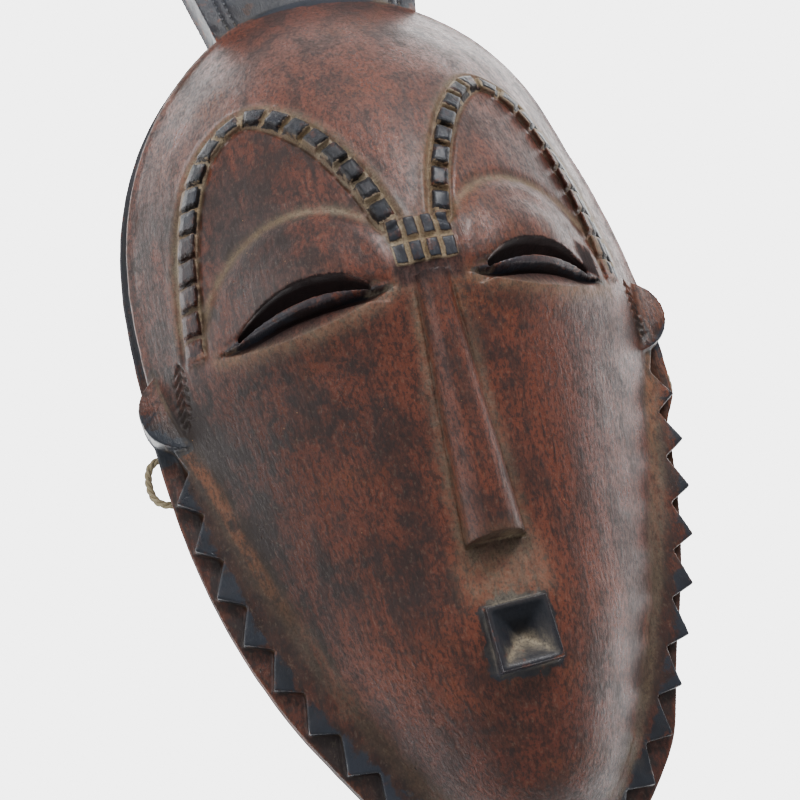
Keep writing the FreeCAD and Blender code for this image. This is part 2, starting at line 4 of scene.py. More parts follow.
import bpy
import numpy as np
from bpy.props import FloatProperty, FloatVectorProperty, IntProperty
from mathutils import Matrix, Vector


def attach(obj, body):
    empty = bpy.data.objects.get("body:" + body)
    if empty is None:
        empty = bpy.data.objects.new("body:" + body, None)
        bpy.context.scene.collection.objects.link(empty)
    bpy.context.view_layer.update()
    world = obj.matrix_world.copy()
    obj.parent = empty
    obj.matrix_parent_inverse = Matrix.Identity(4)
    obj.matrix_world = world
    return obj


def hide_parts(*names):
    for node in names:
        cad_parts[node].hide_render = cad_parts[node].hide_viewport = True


bl_info = {
    "name": "Carved wooden mask",
    "version": (1, 0, 0),
    "blender": (4, 5, 0),
    "location": "View3D > Sidebar > Mask",
    "description": "Carves the mask's worn surface, twists its twine and sets the stage",
    "category": "Object",
}

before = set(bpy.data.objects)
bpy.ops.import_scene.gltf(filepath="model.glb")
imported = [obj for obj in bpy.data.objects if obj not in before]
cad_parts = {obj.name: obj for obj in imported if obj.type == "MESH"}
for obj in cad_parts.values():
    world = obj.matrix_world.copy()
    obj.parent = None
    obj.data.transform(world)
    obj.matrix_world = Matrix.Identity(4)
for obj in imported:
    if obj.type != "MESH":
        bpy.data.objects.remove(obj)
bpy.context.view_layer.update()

MM = 0.001

# The carving's own measures, in millimetres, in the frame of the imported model.
PLATE_FRONT = -14.0
HEAD_CENTRE = 37.0
HEAD_RISE = 126.0
FACE_HALF_WIDTH = 82.0
RIM_HALF_WIDTH = 84.6
CHIN_DROP = 179.0
EYE_CENTRE = 35.5
EYE_LEVEL = 22.5
EYE_TILT = 1.6
EYE_HALF_LENGTH = 21.5
EYE_RISE = 7.6
EYE_OPENING = 3.8
BRIDGE_BOTTOM = 26.0
BRIDGE_TOP = 39.1
NOSE_TOP = 22.0
NOSE_BASE = -50.0
MOUTH_CENTRE = -75.5
MOUTH_HALF = 8.3
EAR_CENTRE_X = 73.4
EAR_CENTRE_Z = 17.5
EAR_RADIUS = 12.8
CREST_BASE = 150.0
HEAD_RELIEF = 53.0
FACE_BACK = -20.0
FAR = 99.0

# The lower lids: how far the cuts run past the slit, and how low the crease under them hangs.
LID_REACH = 3.0
LID_CREASE = -5.6
SLIT_FLOOR = EYE_RISE - EYE_OPENING

# Heights down the face with the relief and the roundness of the section there.
STATIONS = (
    (-132.0, 0.0, 1 / 27.0),
    (-110.0, 20.0, 20.0 / 28.5 ** 2),
    (-75.5, 32.0, 32.0 / 47.5 ** 2),
    (-50.0, 34.5, 34.5 / 58.0 ** 2),
    (-10.0, 43.5, 43.5 / 71.0 ** 2),
    (20.0, 51.0, 51.0 / 80.5 ** 2),
    (37.0, 53.0, 53.0 / 82.0 ** 2),
)

# The middle of the right-hand brow, from the bridge over its top to the temple.
BROW_LINE = (
    (7.8, 39.9), (12.5, 57.0), (23.0, 79.5), (37.5, 95.0),
    (52.0, 88.0), (61.0, 66.0), (65.0, 43.0), (67.0, 23.0),
)

# Where the twine runs, in millimetres: one tie on the right, and the long stretch.
TIE_ROUTE = (
    (62.2, -4.5, 1.3), (67.7, -4.5, 4.6), (72.7, -4.5, 7.2), (79.7, -4.5, 7.7),
    (85.8, -4.5, 7.4), (88.2, -3.9, 3.4), (87.9, -3.9, -4.0), (84.4, -4.5, -7.4),
    (78.7, -4.5, -7.7), (72.7, -4.5, -7.2), (67.7, -4.5, -4.8), (62.2, -4.5, -1.3),
)
# The right-hand tie is pulled closer to the rim.
TIGHT_TIE_ROUTE = (
    (62.2, -4.5, 1.3), (67.7, -4.5, 4.6), (72.7, -4.5, 7.2), (79.7, -4.5, 7.7),
    (81.4, -3.9, 7.5), (82.9, -3.0, 3.6), (82.9, -3.0, -3.6), (81.4, -3.9, -7.5),
    (78.7, -4.5, -7.7), (72.7, -4.5, -7.2), (67.7, -4.5, -4.8), (62.2, -4.5, -1.3),
)
SPAN_ROUTE = (
    (-57.4, -4.5, 0.0), (-50.9, -4.5, -0.4), (-44.4, -4.5, -7.0), (-37.4, -4.5, -19.0),
    (-28.0, -4.5, -31.0), (-14.5, -4.5, -39.5), (1.0, -4.5, -43.0), (16.0, -4.5, -39.0),
    (28.5, -4.5, -30.0), (37.9, -4.5, -18.0), (44.9, -4.5, -6.3), (50.9, -4.5, -0.4),
    (57.4, -4.5, 0.0),
)
KNOT_X = 61.2
KNOT_Y = -4.5
KNOT_TURNS = 2.2
KNOT_LENGTH = 4.5
KNOT_STRAND = 1.05
KNOT_STEPS = 150

# The blocks: the gap between two of a brow, and the bridge's columns and rows with their solid part.
BROW_PITCH = 8.0
BROW_GAP = 1.3
BRIDGE_HALF = 8.8
COLUMN_PITCH, COLUMN_SOLID = 4.775, 3.6
ROW_PITCH, ROW_SOLID = 7.3, 6.1

# Tones that no setting changes: the near-black of painted shade, pale specks, nicks and the twine's soil.
PAINTED_SHADE_TONE = (0.012, 0.004, 0.005)
SPECK_TONE = (0.42, 0.22, 0.09)
NICK_TONE = (0.008, 0.006, 0.006)
SOIL_TONE = (0.30, 0.21, 0.12)

# The temples' hatching.
HATCH_LOW, HATCH_HIGH = 9.0, 28.0
HATCH_PITCH = 2.7

# The stage: the camera's place in millimetres and its axes, and the pale surface and lights in metres.
CAMERA_PLACE = (-69.267, -329.388, -110.095)
CAMERA_RIGHT = (0.96205, -0.09171, -0.25700)
CAMERA_UP = (0.20570, -0.37512, 0.90387)
CAMERA_BACK = (-0.17930, -0.92243, -0.34202)
SURFACE_SIZE = 12.0
SURFACE_BEHIND = 2.5
LIGHT_AIM = (0, -0.02, 0.02)
LIGHTS = (
    ("window", 0.8, (-1.00, -0.60, 0.45)),
    ("fill", 0.22, (0.42, -0.75, 0.62)),
    ("top", 0.9, (0.10, -0.75, 0.95)),
)


# ---------------------------------------------------------------- sizes and colours

class CarvingSettings(bpy.types.PropertyGroup):
    cell: FloatProperty(
        name="Mesh size", description="Cell of the mesh that the cuts and the wear are made in",
        default=0.5 * MM, subtype="DISTANCE", unit="LENGTH")
    lean: FloatProperty(
        name="Lean", description="How far the head's sides lean to the mask's right",
        default=2.6 * MM, subtype="DISTANCE", unit="LENGTH")
    trim: FloatProperty(
        name="Trim", description="How much more is cut off the right-hand side than off the left",
        default=2.5 * MM, subtype="DISTANCE", unit="LENGTH")
    overhang: FloatProperty(
        name="Overhang", description="How far the right-hand teeth stand out over the ledge",
        default=4.2 * MM, subtype="DISTANCE", unit="LENGTH")
    lid_drop: FloatProperty(
        name="Lid drop", description="How much lower the lower lid is cut than in the blank",
        default=1.3 * MM, subtype="DISTANCE", unit="LENGTH")
    chin_spread: FloatProperty(
        name="Chin spread", description="How much wider the lowest teeth stand, as a share",
        default=0.055)
    lid_step: FloatProperty(
        name="Lid step", description="Depth of the cut under each lower lid",
        default=5.4 * MM, subtype="DISTANCE", unit="LENGTH")
    brow_channel: FloatProperty(
        name="Brow channel", description="Depth of the groove on each side of the brow band",
        default=0.7 * MM, subtype="DISTANCE", unit="LENGTH")
    tool_marks: FloatProperty(
        name="Tool marks", description="Depth of the knife facets left on the face",
        default=0.22 * MM, subtype="DISTANCE", unit="LENGTH")
    triangles: IntProperty(
        name="Triangles", description="Most triangles in the finished carving",
        default=192000)
    wood: FloatVectorProperty(
        name="Wood", description="Red-brown stained wood",
        default=(0.230, 0.060, 0.032), subtype="COLOR", min=0, max=1)
    dark_wood: FloatVectorProperty(
        name="Dark wood", description="Dark stain lying in the grain",
        default=(0.026, 0.014, 0.013), subtype="COLOR", min=0, max=1)
    deep_wood: FloatVectorProperty(
        name="Deep wood", description="Redder wood of the chin and the right-hand cheek",
        default=(0.170, 0.040, 0.025), subtype="COLOR", min=0, max=1)
    worn_wood: FloatVectorProperty(
        name="Worn wood", description="Orange wood where the stain has rubbed off",
        default=(0.300, 0.082, 0.030), subtype="COLOR", min=0, max=1)
    dust: FloatVectorProperty(
        name="Dust", description="Ochre dust in the creases",
        default=(0.480, 0.400, 0.285), subtype="COLOR", min=0, max=1)
    paint: FloatVectorProperty(
        name="Paint", description="Blue-black paint",
        default=(0.011, 0.015, 0.023), subtype="COLOR", min=0, max=1)
    bare_wood: FloatVectorProperty(
        name="Bare wood", description="Wood of the hollow, hardly stained",
        default=(0.090, 0.044, 0.026), subtype="COLOR", min=0, max=1)


class TwineSettings(bpy.types.PropertyGroup):
    diameter: FloatProperty(
        name="Diameter", description="Twine across its strands",
        default=2.2 * MM, subtype="DISTANCE", unit="LENGTH")
    strands: IntProperty(
        name="Strands", description="Strands twisted together", default=3)
    lay: FloatProperty(
        name="Lay", description="Length of one full turn of a strand",
        default=7.5 * MM, subtype="DISTANCE", unit="LENGTH")
    cotton: FloatVectorProperty(
        name="Cotton", description="Cream cotton",
        default=(0.66, 0.56, 0.36), subtype="COLOR", min=0, max=1)


class StageSettings(bpy.types.PropertyGroup):
    lens: FloatProperty(
        name="Lens", description="Focal length on a sensor 36 mm wide", default=49.5)
    backdrop: FloatProperty(
        name="Backdrop", description="Brightness of the pale surroundings as seen", default=4.9)
    table: FloatProperty(
        name="Table light", description="Light that the pale surface sends up", default=1.5)
    shine: FloatProperty(
        name="Table reflection", description="Brightness of the pale surface as it is mirrored", default=4.2)
    room: FloatProperty(
        name="Room light", description="Light from the room in front of the face", default=0.40)
    window: FloatProperty(
        name="Window", description="Power of the broad light at the left",
        default=3.6, unit="POWER")
    fill: FloatProperty(
        name="Fill", description="Power of the light at the right", default=5.0, unit="POWER")
    top: FloatProperty(
        name="Top", description="Power of the light over the forehead", default=3.2, unit="POWER")


# ---------------------------------------------------------------- working with the scene

def deselect_all():
    for thing in bpy.context.selected_objects:
        thing.select_set(False)


def take(piece):
    """Make one object the only selected and active one."""
    deselect_all()
    piece.select_set(True)
    bpy.context.view_layer.objects.active = piece


def finish_with(piece, kind, **settings):
    """Add a modifier, set it and apply it."""
    take(piece)
    modifier = piece.modifiers.new(kind.title(), kind)
    for name, value in settings.items():
        setattr(modifier, name, value)
    bpy.ops.object.modifier_apply(modifier=modifier.name)


def points_of(piece):
    """The vertices of a mesh in millimetres, one row each."""
    flat = np.empty(len(piece.data.vertices) * 3, np.float32)
    piece.data.vertices.foreach_get("co", flat)
    return flat.reshape(-1, 3).astype(float) / MM


def put_points(piece, points):
    piece.data.vertices.foreach_set("co", (points * MM).astype(np.float32).ravel())
    piece.data.update()


def normals_of(piece):
    flat = np.empty(len(piece.data.vertices) * 3, np.float32)
    piece.data.vertices.foreach_get("normal", flat)
    return flat.reshape(-1, 3).astype(float)


def add_number(piece, name, values):
    """Store one number for each vertex under a name that the materials read."""
    mark = piece.data.attributes.new(name, "FLOAT", "POINT")
    mark.data.foreach_set("value", np.asarray(values).astype(np.float32))


def add_mark(piece, name, values):
    """Store a share from 0 to 1 for each vertex."""
    add_number(piece, name, np.clip(values, 0, 1))


# ---------------------------------------------------------------- the carved form

def ramp(low, high, value):
    """0 below low, 1 above high, and smooth between."""
    share = np.clip((value - low) / (high - low), 0, 1)
    return share * share * (3 - 2 * share)


def band(value, middle, half, soft):
    """1 within half of the middle, falling to 0 over soft."""
    return 1 - ramp(half, half + soft, np.abs(value - middle))


def through_stations(z, column):
    """A smooth curve through one column of the stations."""
    heights = np.array([row[0] for row in STATIONS])
    values = np.array([row[column] for row in STATIONS])
    slopes = np.gradient(values, heights)
    slopes[-1] = 0.0
    z = np.clip(z, heights[0], heights[-1])
    index = np.clip(np.searchsorted(heights, z) - 1, 0, len(heights) - 2)
    gap = heights[index + 1] - heights[index]
    t = (z - heights[index]) / gap
    rise = (2 * t ** 3 - 3 * t ** 2 + 1) * values[index]
    rise += (3 * t ** 2 - 2 * t ** 3) * values[index + 1]
    rise += (t ** 3 - 2 * t ** 2 + t) * gap * slopes[index]
    rise += (t ** 3 - t ** 2) * gap * slopes[index + 1]
    return rise


def plain_relief(x, z):
    """How far the face stands over the toothed plate, without eyes, nose or mouth."""
    lower = through_stations(z, 1) - through_stations(z, 2) * x * x
    along = (np.clip(z - HEAD_CENTRE, 0, None) / HEAD_RISE) ** 2.2
    upper = HEAD_RELIEF * (1 - along - (x / FACE_HALF_WIDTH) ** 2)
    return np.where(z > HEAD_CENTRE, upper, lower)


def rim_distance(x, z):
    """Rough distance from a point in to the rim's outline."""
    share = np.clip((HEAD_CENTRE - z) / CHIN_DROP, 0, 1)
    lower = RIM_HALF_WIDTH * (1 - share ** 2.4) ** 0.72
    rise = np.clip((z - HEAD_CENTRE) / (HEAD_RISE + 2.6), 0, 1)
    upper = RIM_HALF_WIDTH * np.sqrt(np.clip(1 - rise ** 2.2, 0, 1))
    reach = np.where(z > HEAD_CENTRE, upper, lower)
    slope = np.where(z > HEAD_CENTRE, 1.0 + 1.6 * rise ** 3, 1.0 + 0.9 * share ** 2)
    return (reach - np.abs(x)) / slope


def smooth_line(points, count):
    """Points evenly along a smooth line through a few given ones."""
    given = np.array(points)
    padded = np.vstack([2 * given[0] - given[1], given, 2 * given[-1] - given[-2]])
    made = []
    for i in range(1, len(padded) - 2):
        a, b, c, d = padded[i - 1:i + 3]
        for t in np.linspace(0, 1, 24, endpoint=False):
            made.append(0.5 * (
                2 * b + (c - a) * t + (2 * a - 5 * b + 4 * c - d) * t ** 2
                + (3 * b - a - 3 * c + d) * t ** 3))
    made.append(given[-1])
    made = np.array(made)
    steps = np.linalg.norm(np.diff(made, axis=0), axis=1)
    travelled = np.concatenate([[0], np.cumsum(steps)])
    wanted = np.linspace(0, travelled[-1], count)
    columns = [np.interp(wanted, travelled, made[:, k]) for k in range(made.shape[1])]
    return np.stack(columns, 1), travelled[-1]


def line_distance(x, z, line, length):
    """Distance from a line of points, the place along it, and the side as a sign."""
    distance = np.full(len(x), FAR)
    along = np.zeros(len(x))
    side = np.zeros(len(x))
    low = line.min(0) - 12
    high = line.max(0) + 12
    near = np.nonzero((x > low[0]) & (x < high[0]) & (z > low[1]) & (z < high[1]))[0]
    direction = np.gradient(line, axis=0)
    direction /= np.linalg.norm(direction, axis=1)[:, None]
    for start in range(0, len(near), 40000):
        part = near[start:start + 40000]
        gap_x = x[part, None] - line[None, :, 0]
        gap_z = z[part, None] - line[None, :, 1]
        squared = gap_x ** 2 + gap_z ** 2
        best = squared.argmin(1)
        rows = np.arange(len(part))
        distance[part] = np.sqrt(squared[rows, best])
        along[part] = best / (len(line) - 1) * length
        turned = direction[best, 0] * gap_z[rows, best] - direction[best, 1] * gap_x[rows, best]
        side[part] = np.sign(turned)
    return distance, along, side


def eye_place(x, z):
    """Place along the eye's chord from its middle, outwards, and height over the chord."""
    tilt = math.atan2(EYE_TILT, 2 * EYE_HALF_LENGTH)
    across = np.abs(x) - EYE_CENTRE
    up = z - (EYE_LEVEL - EYE_TILT / 2)
    along = across * math.cos(tilt) + up * math.sin(tilt)
    height = -across * math.sin(tilt) + up * math.cos(tilt)
    return along, height


def arc_height(along, half_chord, rise):
    """Height of a round arc over its chord. A negative rise hangs below it."""
    size = abs(rise) if abs(rise) > 1e-6 else 1e-6
    radius = (half_chord ** 2 + size ** 2) / (2 * size)
    inside = np.clip(radius ** 2 - np.clip(along, -half_chord, half_chord) ** 2, 0, None)
    return math.copysign(1, rise) * (np.sqrt(inside) - (radius - size))


def wave_noise(a, b, seed):
    """Smooth, repeatable unevenness from -1 to 1."""
    total = np.zeros_like(a)
    turn = seed * 1.7
    for k in range(5):
        turn += 2.399
        scale = 1.0 + 0.55 * k
        phase = a * math.cos(turn) * scale + b * math.sin(turn) * scale + seed * (k + 1)
        total += np.sin(phase + 1.3 * np.sin(0.7 * scale * (a * math.sin(turn) - b)))
    return total / 5


def lid_ring(along, height):
    """1 on the oval of the fold over an eye, less inside it and more outside."""
    return np.hypot(along / 27.5, (height - 2.0) / 28.5)


def cut_lower_lids(x, y, z, depth, settings):
    """Lower and flatten each lower lid, and slant the slit's passage down into the hollow."""
    along, height = eye_place(x, z)
    reach = EYE_HALF_LENGTH + LID_REACH
    over_floor = height - arc_height(along, reach, SLIT_FLOOR)
    opening = np.maximum(EYE_OPENING * (1 - (along / EYE_HALF_LENGTH) ** 2), 0.3)
    dropped = ramp(-5.0, -1.2, over_floor) * ramp(0.75, 0.4, over_floor / opening) * (y < FACE_BACK)
    dropped *= ramp(6.0, 2.5, y + depth)
    z = z - settings.lid_drop / MM * dropped * np.clip(1 - np.abs(along / reach) ** 4, 0, 1)
    proud = np.clip(-(y + depth), 0, 4) * band(over_floor, -1.6, 2.4, 1.0)
    y = y + 0.65 * proud * ramp(reach, reach - 4.0, np.abs(along)) * (y < FACE_BACK)
    inward = np.clip(y + depth - 1.5, 0, 6)
    slant = 0.50 * inward * band(over_floor, 2.0, 5.0, 8.0) * ramp(reach + 5, reach - 4, np.abs(along))
    z = z - slant * (y < FACE_BACK) * (plain_relief(x, z) > 1.0)
    return y, z


def step_under_lids(x, y, z, skin, settings):
    """Cut the step under each lower lid, deepest at the lid and running out at its ends."""
    along, height = eye_place(x, z)
    reach = EYE_HALF_LENGTH + LID_REACH
    rim_low = arc_height(along, reach, SLIT_FLOOR - settings.lid_drop / MM - 1.6)
    crease = arc_height(along, reach + 1.0, LID_CREASE)
    share = np.clip((rim_low - height) / np.maximum(rim_low - crease, 0.8), 0, 1)
    ends = 1 - (np.abs(along) / (reach + 1.0)) ** 4
    step = (1 - share) ** 0.95 * ramp(0.0, 0.06, share) * np.clip(ends, 0, 1)
    step *= (height > crease) & (height < rim_low)
    return y + skin * step * settings.lid_step / MM


def fold_over_lids(x, y, z, skin):
    """A shallow fold over each upper lid, and the lid's swell under it."""
    along, height = eye_place(x, z)
    over_lid = lid_ring(along, height)
    upper = ramp(-2.0, 5.0, height)
    y = y + skin * upper * 0.9 * np.exp(-((over_lid - 1.06) / 0.085) ** 2)
    return y - skin * upper * 0.5 * np.exp(-((over_lid - 0.86) / 0.10) ** 2)


def thin_lips(x, y, z):
    """Widen the mouth's hollow, which leaves its lips thin."""
    mouth = np.maximum(np.abs(x), np.abs(z - MOUTH_CENTRE))
    widened = 1.1 * ramp(3.5, 6.4, mouth) * ramp(8.7, 6.6, mouth) * (y < -22)
    wider = 1 + widened / np.maximum(mouth, 1.0)
    return x * wider, MOUTH_CENTRE + (z - MOUTH_CENTRE) * wider


def round_nose(x, y, z, skin, front):
    """Round the nose's flat back towards its two edges."""
    nose_half = 8.25 - 3.25 * np.clip((z - NOSE_BASE) / (NOSE_TOP - NOSE_BASE), 0, 1)
    on_nose = ramp(nose_half + 0.6, nose_half - 0.4, np.abs(x)) * ramp(NOSE_TOP, NOSE_TOP - 8, z)
    on_nose *= (z > NOSE_BASE - 1.0) * front
    return y + skin * 1.3 * on_nose * (x / nose_half) ** 2


def groove_brows(x, y, z, skin, settings):
    """A groove on each side of the brow's band, and a low lip outside it."""
    line, length = smooth_line(BROW_LINE, 260)
    distance, along_brow = line_distance(np.abs(x), z, line, length)[:2]
    fade = ramp(length + 1, length - 7, along_brow)
    groove = np.exp(-((distance - 3.2) / 0.65) ** 2)
    lip = np.exp(-((distance - 4.9) / 1.1) ** 2)
    return y + skin * fade * settings.brow_channel / MM * (groove - 0.40 * lip)


def large_cuts(points, settings):
    """The cuts that the blank doesn't have: lids, lips, nose and brow grooves."""
    x, y, z = points.T.copy()
    front = ramp(-16.0, -19.0, y) * (plain_relief(x, z) > 1.0)
    depth = plain_relief(x, z) - PLATE_FRONT
    skin = front * ramp(-9.0, -6.0, -(y + depth)) * ramp(9.5, 7.0, y + depth)
    y, z = cut_lower_lids(x, y, z, depth, settings)
    y = step_under_lids(x, y, z, skin, settings)
    y = fold_over_lids(x, y, z, skin)
    x, z = thin_lips(x, y, z)
    y = round_nose(x, y, z, skin, front)
    y = groove_brows(x, y, z, skin, settings)
    return np.stack([x, y, z], 1)


def lean_head(points, settings):
    """The sides are a little uneven, as in a block cut by hand."""
    x, y, z = points.T.copy()
    high = ramp(5.0, 90.0, z)
    side = ramp(50.0, 82.0, np.abs(x))
    below_crest = ramp(172.0, 150.0, z)
    x = x - settings.lean / MM * high * side * below_crest * np.where(x > 0, 1.15, 0.7)
    trimmed = ramp(15.0, 80.0, x) * ramp(-128.0, -95.0, z) * ramp(120.0, 80.0, z)
    x = x - settings.trim / MM * trimmed
    ledge = ramp(-12.4, -11.8, y) * ramp(40.0, 60.0, x)
    ledge *= ramp(-8.0, -20.0, z) * ramp(-126.0, -106.0, z)
    x = x - settings.overhang / MM * ledge
    x = x * (1 + settings.chin_spread * ramp(-92.0, -130.0, z))
    return np.stack([x, y, z], 1)


def hand_marks(points, normals, settings):
    """Shallow knife facets on the face, and gouge marks in the hollow."""
    x, y, z = points.T
    facing = np.clip(-normals[:, 1], 0, 1)
    face = plain_relief(x, z) > 2.0
    facets = wave_noise(x / 7.0, z / 16.0, 3)
    slow = wave_noise(x / 18.0, z / 26.0, 5)
    front = facing * face * (y < -16)
    shift = front * settings.tool_marks / MM * (0.7 * facets + 1.6 * slow)
    back = np.clip(normals[:, 1], 0, 1) * (y < -1.5)
    scoops = np.abs(np.sin(z / 4.6 + 0.8 * np.sin(x / 9.0))) * np.abs(np.cos(x / 5.8 + z / 31.0))
    shift = shift - back * 0.5 * (scoops - 0.5)
    side = np.clip(1 - facing - np.clip(normals[:, 1], 0, 1), 0, 1)
    shift = shift + side * 0.14 * wave_noise(z / 5.0, x / 7.0, 11)
    return points + normals * shift[:, None]


def temple_hatch(points, normals):
    """Two rows of slanting cuts on each temple, between the brow's end and the ear."""
    x, y, z = points.T
    share = (z - HATCH_LOW) / (HATCH_HIGH - HATCH_LOW)
    centre = 73.2 - 1.2 * share
    width = 2.1 * np.sqrt(np.clip(4 * share * (1 - share), 0, 1))
    off = np.abs(x) - centre
    inside = (share > 0) & (share < 1) & (np.abs(off) < width) & (y < -10.5)
    slant = z + np.abs(off) * 1.1
    cuts = ramp(0.25, 0.8, np.abs(np.sin(slant * math.pi / HATCH_PITCH)))
    middle = ramp(0.1, 0.6, np.abs(off))
    depth = inside * (0.75 - 0.75 * cuts * middle)
    return points - normals * depth[:, None]


# ---------------------------------------------------------------- marks for the finish

def neighbours_of(piece):
    flat = np.empty(len(piece.data.edges) * 2, np.int32)
    piece.data.edges.foreach_get("vertices", flat)
    return flat.reshape(-1, 2)


def averaged(values, edges, count, passes):
    """Values blurred over the mesh, each pass with the average of the neighbours."""
    weight = np.bincount(edges[:, 0], minlength=count) + np.bincount(edges[:, 1], minlength=count)
    weight = np.maximum(weight, 1)
    for _ in range(passes):
        total = np.bincount(edges[:, 0], values[edges[:, 1]], count)
        total += np.bincount(edges[:, 1], values[edges[:, 0]], count)
        values = 0.5 * values + 0.5 * total / weight
    return values


def hollowness(points, normals, edges, passes):
    """How far each vertex lies under its blurred surroundings, in millimetres."""
    count = len(points)
    blurred = np.stack([averaged(points[:, k], edges, count, passes) for k in range(3)], 1)
    return np.einsum("ij,ij->i", blurred - points, normals)


def survey(piece, lid_drop):
    """The measures of every vertex that the marks are worked out from."""
    points = points_of(piece)
    normals = normals_of(piece)
    at = SimpleNamespace(edges=neighbours_of(piece), count=len(points))
    at.x, at.y, at.z = points.T
    at.back, at.up = normals[:, 1], normals[:, 2]
    at.near = hollowness(points, normals, at.edges, 6)
    at.wide = hollowness(points, normals, at.edges, 40)
    at.front = (at.y < -11.5) & (at.back < 0.35)
    at.from_rim = rim_distance(at.x, at.z)
    at.relief = plain_relief(at.x, at.z)
    at.plate = (at.y > -17.0) & (at.y < -11.4)
    at.flange = (at.relief < 3.0) & at.plate & (at.z < 5)
    line, at.brow_length = smooth_line(BROW_LINE, 400)
    at.brow_off, at.brow_along, at.brow_side = line_distance(
        np.abs(at.x), at.z, line, at.brow_length)
    at.along, at.height = eye_place(at.x, at.z)
    reach = EYE_HALF_LENGTH + 2.4
    at.floor_arc = arc_height(at.along, reach, SLIT_FLOOR - lid_drop)
    at.crease_arc = arc_height(at.along, reach + 1.5, LID_CREASE)
    at.on_eye = (np.abs(at.along) < reach + 0.6) & (at.y < FACE_BACK)
    at.by_eye = np.abs(at.along) < reach + 3
    at.mouth = np.maximum(np.abs(at.x), np.abs(at.z - MOUTH_CENTRE))
    return at


def name_parts(at):
    """How far each vertex belongs to the parts that several marks treat alike."""
    x, y, z = at.x, at.y, at.z
    middle = (BRIDGE_BOTTOM + BRIDGE_TOP) / 2
    at.bridge = band(x, 0, BRIDGE_HALF, 0.5) * band(z, middle, 6.5, 0.5) * at.front
    at.on_brow = at.front * ramp(at.brow_length - 2, at.brow_length - 4, at.brow_along) * (1 - at.bridge)
    at.nose_root = band(x, 0, 8.5, 2.5) * band(z, NOSE_TOP + 1.2, 2.2, 2.6) * at.front
    at.nose_end = band(x, 0.5, 8.0, 2.0) * band(z, NOSE_BASE - 2.2, 1.6, 2.0) * at.front
    step = np.maximum(at.floor_arc - 1.8 - at.crease_arc, 1.0)
    under = np.clip((at.height - at.crease_arc) / step, 0, 1)
    at.under_lid = under ** 0.6 * (at.height < at.floor_arc - 1.5) * at.on_eye * at.front
    at.roof = band(at.height, SLIT_FLOOR + 5.5, 3.0, 1.0) * (at.up < -0.5) * at.on_eye
    at.mouth_top = ramp(MOUTH_HALF - 0.4, MOUTH_HALF - 1.4, at.mouth)
    at.mouth_top = at.mouth_top * ramp(-1.5, 2.5, z - MOUTH_CENTRE) * at.front
    at.ear = (np.abs(x) > 71.5) * (np.abs(z - EAR_CENTRE_Z) < 14.5) * (y > -18.8) * (at.from_rim < 11)
    at.temple = band(np.abs(x), 73.0, 3.5, 1.5) * band(z, 18.5, 10, 2) * (y < -10)
    at.crest_face = ramp(156.0, 160.0, z) * (at.back < 0.5)

    depth = y - PLATE_FRONT + at.relief
    in_slit = (np.abs(at.along) < EYE_HALF_LENGTH + 0.5) & (y < FACE_BACK) & (at.back < 0.6)
    upper_wall = (depth > 0.4) & (at.height > at.floor_arc + 0.6) & (at.height < at.floor_arc + 10.0)
    lower_wall = (depth > 2.2) & (at.height > at.floor_arc - 4.0) & (at.height < at.floor_arc + 2.0)
    at.slit_wall = in_slit & (upper_wall | lower_wall)


def below_eye(at):
    """A line under the crease below each eye."""
    line = np.exp(-((at.height - at.crease_arc + 1.0) / 2.0) ** 2)
    return line * at.by_eye * at.front


def under_nose(at):
    """The lip between the nose and the mouth."""
    return band(at.x, 0, 8, 8) * band(at.z, -58, 4, 8) * at.front


def edge_share(at):
    """Sharp outward edges."""
    return np.clip((-at.near - 0.04) / 0.35, 0, 1)


def painted_share(at):
    """Paint on the lips, the teeth's tips, the rim, the ears' edges and the crest."""
    x, y, z = at.x, at.y, at.z
    lips = ramp(MOUTH_HALF + 1.9, MOUTH_HALF + 1.2, at.mouth) * (y < -26) * at.front
    ragged = at.from_rim + 1.3 * wave_noise(x / 3.0, z / 3.0, 4)
    tips = ramp(9.6, 3.2, ragged) * at.plate * (z < 2.0)
    rim_edge = ramp(4.2, 2.8, at.from_rim)
    upper_rim = rim_edge * (z > 34) * (y > -15.5) * ramp(1.0, -2.0, x)
    behind_ear = rim_edge * (z > 2) * (z < 24) * (y > -12) * (x < 0)
    from_ear = EAR_RADIUS - np.hypot(np.abs(x) - EAR_CENTRE_X, z - EAR_CENTRE_Z)
    ear_edge = at.ear * ramp(4.2, 2.2, from_ear) * ramp(24.0, 12.0, z) * np.where(x < 0, 1.0, 0.55)
    crest = ramp(CREST_BASE + 1.0, CREST_BASE + 4.0, z) * (at.from_rim < 2.0)
    return np.maximum.reduce([lips, tips, upper_rim, behind_ear, ear_edge, crest, at.crest_face])


